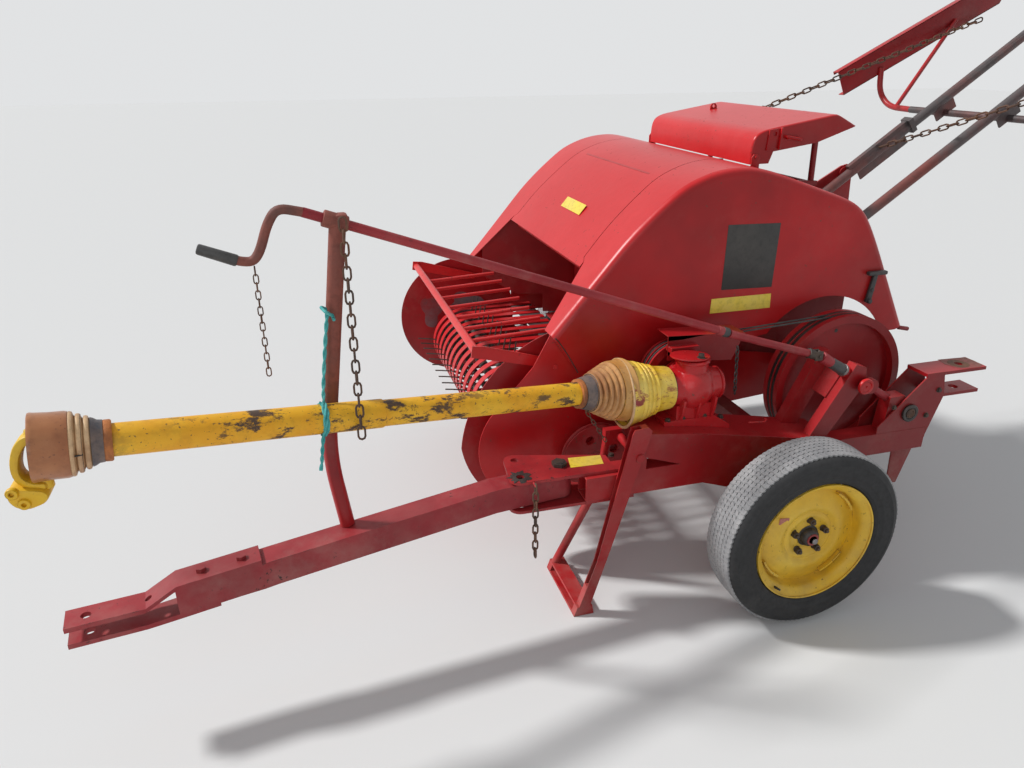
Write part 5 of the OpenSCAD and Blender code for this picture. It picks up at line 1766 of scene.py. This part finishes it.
@dataclass
class PivotDress:
    """Label, grease and bolts on the upper pivot plate of the drawbar."""

    shop: Workshop
    top: float = 510.3
    pin: Pair = (699.0, -870.0)

    def build(self) -> None:
        """Lays the label and the grease and adds the bolts."""
        shop = self.shop
        spots = ((627, -687), (638, -579), (694, -590), (689, -700))
        label = shop.slab("pivot_label", [place(x, y, 510.5) for x, y in spots], UP * 0.0006, 0.0)
        shop.fixed(label, "label_yellow", Slot.YELLOW)
        x, y = self.pin
        rim = [(34 + 9 * math.sin(3.1 * k) + 6 * math.sin(1.7 * k + 1.0), math.tau * k / 26)
               for k in range(26)]
        stain = [place(x + r * math.cos(t), y + r * math.sin(t), self.top) for r, t in rim]
        blob = shop.slab("pivot_grease", stain, UP * 0.0012, 0.0005)
        hole = shop.bar("hole_cut", (x, y, 500), (x, y, 520), 13)
        shop.fixed(shop.cut(blob, hole), "black_grease", Slot.STEEL)
        nuts = [shop.bolt("plate_bolt", (*spot, self.top), UP, 8.5) for spot in ((650, -545), (700, -520))]
        shop.fixed(shop.join("plate_bolts", nuts), "dark_nut", Slot.STEEL)


@dataclass
class TineReel:
    """Reel of the pick-up with thin bent wire tines on four bars."""

    shop: Workshop
    centre: Pair = (-720.0, 465.0)
    bars: int = 4
    first: float = -660.0
    pitch: float = 68.0
    count: int = 15

    def build(self) -> None:
        """Builds one bar with its tines and copies it round the shaft."""
        shop = self.shop
        y, z = self.centre
        pieces = [shop.bar("tine_bar", (-735, y, z + 96), (335, y, z + 96), 12, 20)]
        for i in range(self.count):
            x = self.first + i * self.pitch
            line = [(-2, 92), (10, 112), (27, 160), (35, 205), (38.5, 231)]
            pieces.append(shop.tube("tine", [place(x, y + a, z + b) for a, b in line], 0.0027, 1))
            pieces.append(shop.bar("tine_coil", (x - 7, y + 2, z + 104), (x + 7, y + 2, z + 104), 8, 12))
        one = shop.join("tine_row", pieces)
        rows = shop.ring(one, self.bars, place(0, y, z), LEFT)
        shaft = shop.bar("reel_shaft", (-776, y, z), (370, y, z), 20, 32)
        discs = [shop.bar("reel_disc", (x, y, z), (x + 8, y, z), 112, 48, None, 0.001) for x in (-734, 326)]
        shop.finish(shop.join("wire_tine_reel", [rows, shaft, *discs]), "tine_steel", Body.REEL, Slot.TINE,
                    "tine_reel")


@dataclass
class ShieldSmears:
    """Patches that the crop has rubbed bare on the far shield, and the sheet under the bands."""

    shop: Workshop

    def build(self) -> None:
        """Lays thin patches on the inner face of the shield and adds the sheet."""
        shop = self.shop
        patches = []
        for y, z, wide, high, phase in ((-862.0, 590.0, 46.0, 74.0, 0.4), (-690.0, 610.0, 88.0, 52.0, 2.1)):
            rim = [(1.0 + 0.20 * math.sin(3.0 * t + phase) + 0.11 * math.sin(5.0 * t + 2.0 * phase), t)
                   for t in (math.tau * k / 40 for k in range(40))]
            spots = [place(-779.9, y + wide * r * math.cos(t), z + high * r * math.sin(t)) for r, t in rim]
            patches.append(shop.slab("smear", spots, LEFT * 0.0004, 0.0))
        shop.finish(shop.join("shield_smears", patches), "smear_grey", Body.PICKUP, Slot.STEEL)
        tray = shop.block("rear_tray", place(-700, -500, 611), place(362, -402, 613.8), 0.0005)
        shop.finish(tray, "worn_steel", Body.PICKUP, Slot.STEEL)


@dataclass
class ChuteSides:
    """Side guides of the bale chute with their bent arms."""

    shop: Workshop
    mid: float = -150.0
    reach: float = 630.0
    angle: float = 26.5

    def turned(self, points: Profile) -> list[Pair]:
        """Turns a line from the guide's own (along, up) to (y, z)."""
        c, n = math.cos(math.radians(self.angle)), math.sin(math.radians(self.angle))
        return [(1234 + a * c - b * n, 1569 + a * n + b * c) for a, b in points]

    def side(self, sign: int) -> list[Piece]:
        """Builds the channel, arm and stay of one side.

        Args:
            sign: 1 for the left side, -1 for the right side.

        Returns:
            The pieces.
        """
        shop = self.shop
        x = self.mid + sign * self.reach
        w0, w1 = ordered(x, x + sign * 4)
        f0, f1 = ordered(x, x + sign * 40)
        web = shop.plate("guide_web", w0, w1, self.turned([
            (0, -60), (940, -60), (960, -44), (960, 60), (0, 60)]), 0.0008)
        top = shop.plate("guide_top", f0, f1, self.turned([(0, 56), (960, 56), (960, 60), (0, 60)]), 0.0008)
        low = shop.plate("guide_low", f0, f1, self.turned([(0, -60), (940, -60), (940, -56), (0, -56)]),
                         0.0008)
        lip = shop.plate("guide_lip", *ordered(x + sign * 36, x + sign * 40),
                         self.turned([(0, 44), (960, 44), (960, 60), (0, 60)]), 0.0008)
        y, z = 1453.4, 1459.3
        arm = shop.tube("guide_arm", rounded([
            place(self.mid + sign * 382, y, z), place(self.mid + sign * 530, y, z + 4),
            place(x - sign * 16, y, z + 70), place(x - sign * 2, y, 1640)], 0.09, 8), 0.0138, 4)
        stay = shop.bar("guide_stay", (self.mid + sign * 480, y, z + 6), (x - sign * 4, 1850, 1858), 10, 20)
        foot = shop.bolt("arm_bolt", (x + sign * 5, y + 4, 1650), Vector((float(sign), 0.0, 0.0)), 9.0)
        return [web, top, low, lip, arm, stay, foot]

    def build(self) -> None:
        """Builds both sides."""
        shop = self.shop
        shop.finish(shop.join("side_guides", [*self.side(1), *self.side(-1)]), "frame_red", Body.CHUTE,
                    Slot.DARK_RED, "chute_guides")


@dataclass
class Studio:
    """Camera, light and floor."""

    eye: Point = (2.690, -1.474, 1.723)
    yaw: float = 16.20
    pitch: float = 23.35
    roll: float = -0.20
    focal_px: float = 771.5
    width_px: float = 1024.0
    sensor: float = 36.0

    def camera(self) -> None:
        """Sets the camera to the photograph's view."""
        psi, theta, roll = (math.radians(v) for v in (self.yaw, self.pitch, self.roll))
        heading = Vector((-math.cos(psi), math.sin(psi), 0.0))
        forward = heading * math.cos(theta) - UP * math.sin(theta)
        right = heading.cross(UP)
        above = heading * math.sin(theta) + UP * math.cos(theta)
        level, tilt = right, above
        right = level * math.cos(roll) + tilt * math.sin(roll)
        above = tilt * math.cos(roll) - level * math.sin(roll)
        turn = Matrix((right, above, -forward)).transposed().to_4x4()
        data = bpy.data.cameras.new("photo_view")
        data.sensor_width = self.sensor
        data.lens = self.focal_px / self.width_px * self.sensor
        data.clip_end = 60.0
        camera = bpy.data.objects.new("photo_view", data)
        camera.matrix_world = Matrix.Translation((self.eye[0], self.eye[1] - MID_Y, self.eye[2])) @ turn
        bpy.context.collection.objects.link(camera)
        bpy.context.scene.camera = camera

    def lamp(self, name: str, spot: Point, aim: Point, size: float, power: float) -> None:
        """Adds one soft area lamp.

        Args:
            name: Name of the lamp.
            spot: Place of the lamp.
            aim: Point that it faces.
            size: Edge length in metres.
            power: Power in watts.
        """
        data = bpy.data.lights.new(name, "AREA")
        data.size = size
        data.energy = power
        lamp = bpy.data.objects.new(name, data)
        lamp.location = spot
        lamp.rotation_euler = (Vector(spot) - Vector(aim)).to_track_quat("Z", "Y").to_euler()
        bpy.context.collection.objects.link(lamp)

    def sun(self, towards: Point, strength: float, spread: float) -> None:
        """Adds a soft distant lamp.

        Args:
            towards: Direction from the machine to the lamp.
            strength: Strength of the light.
            spread: Apparent width of the lamp in degrees, which softens its shadows.
        """
        data = bpy.data.lights.new("main", "SUN")
        data.energy = strength
        data.angle = math.radians(spread)
        lamp = bpy.data.objects.new("main", data)
        lamp.rotation_euler = Vector(towards).to_track_quat("Z", "Y").to_euler()
        bpy.context.collection.objects.link(lamp)

    def light(self) -> None:
        """Lights the machine softly, brightest from the front and above."""
        self.sun((-0.304, -0.652, 0.695), 2.9, 6.0)
        self.lamp("fill", (6.2, -3.6, 3.4), (0.2, 0.0, 0.6), 4.0, 60.0)
        world = bpy.data.worlds.new("studio")
        world.use_nodes = True
        tree = world.node_tree
        tree.nodes.clear()
        out = tree.nodes.new("ShaderNodeOutputWorld")
        ray = tree.nodes.new("ShaderNodeLightPath")
        seen = tree.nodes.new("ShaderNodeMath")
        seen.operation = "MAXIMUM"
        tree.links.new(ray.outputs["Is Camera Ray"], seen.inputs[0])
        tree.links.new(ray.outputs["Is Glossy Ray"], seen.inputs[1])
        clear = tree.nodes.new("ShaderNodeMath")
        clear.operation = "MAXIMUM"
        tree.links.new(seen.outputs["Value"], clear.inputs[0])
        tree.links.new(ray.outputs["Is Transmission Ray"], clear.inputs[1])
        soft, pale = (tree.nodes.new("ShaderNodeBackground") for _ in range(2))
        soft.inputs["Color"].default_value = (0.92, 0.95, 1.0, 1.0)
        soft.inputs["Strength"].default_value = 0.40
        pale.inputs["Color"].default_value = (0.84, 0.85, 0.86, 1.0)
        pale.inputs["Strength"].default_value = 0.9
        mix = tree.nodes.new("ShaderNodeMixShader")
        tree.links.new(clear.outputs["Value"], mix.inputs["Fac"])
        tree.links.new(soft.outputs["Background"], mix.inputs[1])
        tree.links.new(pale.outputs["Background"], mix.inputs[2])
        tree.links.new(mix.outputs["Shader"], out.inputs["Surface"])
        bpy.context.scene.world = world

    def floor(self) -> None:
        """Lays the pale floor."""
        Workshop.clear()
        bpy.ops.mesh.primitive_plane_add(size=60.0, location=(0.0, 0.0, -0.001))
        floor = bpy.context.object
        floor.name = "floor"
        material = bpy.data.materials.new("floor")
        material.use_nodes = True
        shader = material.node_tree.nodes["Principled BSDF"]
        shader.inputs["Base Color"].default_value = (0.70, 0.70, 0.69, 1.0)
        shader.inputs["Roughness"].default_value = 0.9
        floor.data.materials.append(material)

    def build(self) -> None:
        """Makes the whole studio."""
        self.camera()
        self.light()
        self.floor()
        bpy.context.scene.view_settings.view_transform = "Standard"


@dataclass
class FrameDressing:
    """Finishes the frame's own nodes: merged triangles, smooth rounds, eased edges and paint."""

    paint: Paintshop
    nodes: dict[str, Piece]
    # shade_red paints shade on the nodes that lie in shadow.
    coats: dict[str, str] = field(default_factory=lambda: {
        "left_beam": "frame_red", "pivot_plates": "plate_red", "axle_beam": "shade_red",
        "cross_members": "shade_red", "bale_chamber": "shade_red", "feed_walls": "frame_red",
        "hood_left": "hood_red", "hood_right": "hood_red", "hood_centre": "hood_red",
        "knotter_table": "shade_red", "knotter_cover": "hood_red", "chute_brackets": "frame_red",
        "chute_rails": "rail_steel", "chute_guides": "frame_red", "stay_chains": "rusty_steel",
        "gearbox": "gear_red", "drive_pulley": "frame_red", "flywheel": "frame_red",
        "drive_belts": "belt_rubber", "belt_guard": "frame_red", "spindle_bracket": "frame_red",
        "lift_spindle": "bar_red", "crank_post": "rod_rust", "crank_rod": "rod_rust",
        "drawbar": "bar_red", "drawbar_pins": "dark_nut", "post_chains": "rusty_steel",
        "lock_pin_chain": "rusty_steel", "parking_stand": "frame_red", "shaft_guard": "guard_yellow",
        "shaft_cones": "cone_yellow", "shaft_yoke": "yoke_yellow", "sling_rope": "rope_fibre",
        "left_rim": "rim_yellow", "left_tyre": "tyre_rubber", "right_rim": "rim_yellow",
        "right_tyre": "tyre_rubber", "wagon_hitch": "frame_red", "pickup_frame": "frame_red",
        "stripper_bands": "hood_red", "tine_reel": "tine_steel", "pickup_pulley": "frame_red",
        "wind_guard": "bright_red"})
    eased: float = 0.0016

    def smoother(self) -> bpy.types.NodeTree:
        """Builds the node group that merges triangles and smooths rounds.

        Returns:
            The geometry node group.
        """
        group = bpy.data.node_groups.new("merge_and_smooth", "GeometryNodeTree")
        group.interface.new_socket("Geometry", in_out="INPUT", socket_type="NodeSocketGeometry")
        group.interface.new_socket("Geometry", in_out="OUTPUT", socket_type="NodeSocketGeometry")
        start, end = group.nodes.new("NodeGroupInput"), group.nodes.new("NodeGroupOutput")
        merge = group.nodes.new("GeometryNodeMergeByDistance")
        merge.inputs["Distance"].default_value = 0.00002
        angle = group.nodes.new("GeometryNodeInputMeshEdgeAngle")
        flat = group.nodes.new("FunctionNodeCompare")
        flat.data_type = "FLOAT"
        flat.operation = "LESS_THAN"
        flat.inputs["B"].default_value = math.radians(28.0)
        faces = group.nodes.new("GeometryNodeSetShadeSmooth")
        faces.domain = "FACE"
        edges = group.nodes.new("GeometryNodeSetShadeSmooth")
        edges.domain = "EDGE"
        group.links.new(start.outputs[0], merge.inputs["Geometry"])
        group.links.new(merge.outputs["Geometry"], faces.inputs["Geometry"])
        group.links.new(faces.outputs["Geometry"], edges.inputs["Geometry"])
        group.links.new(angle.outputs["Unsigned Angle"], flat.inputs["A"])
        group.links.new(flat.outputs["Result"], edges.inputs["Shade Smooth"])
        group.links.new(edges.outputs["Geometry"], end.inputs[0])
        return group

    def build(self) -> None:
        """Dresses every node."""
        group = self.smoother()
        for name, node in self.nodes.items():
            if node.type != "MESH":
                continue
            self.paint.coat(node, self.coats[name])
            merged = node.modifiers.new("merged", "NODES")
            merged.node_group = group
            bevel = node.modifiers.new("eased", "BEVEL")
            bevel.width = self.eased
            bevel.segments = 2
            bevel.limit_method = "ANGLE"
            bevel.angle_limit = math.radians(40.0)
            bevel.use_clamp_overlap = True
            LOG.info("node %s is %s", name, self.coats[name])


def main() -> None:
    """Builds the dressed model piece by piece."""
    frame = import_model()
    paint = Paintshop()
    shop = Workshop(paint)
    Studio().build()
    for part in (Hood(shop), KnotterCover(shop), DriveShaft(shop), DriveDetails(shop), Chains(shop),
                 CrankGear(shop), ShaftJoints(shop), PivotDress(shop), TineReel(shop), ShieldSmears(shop),
                 ChuteSides(shop)):
        LOG.info("building %s", type(part).__name__)
        part.build()
    RoadWheel(shop, 1).build(Body.LEFT_WHEEL, "left")
    RoadWheel(shop, -1).build(Body.RIGHT_WHEEL, "right")
    FrameDressing(paint, frame["nodes"]).build()
    LOG.info("%d new pieces", shop.count)


if __name__ == "__main__":
    logging.basicConfig(level=logging.INFO, format="%(message)s")
    main()
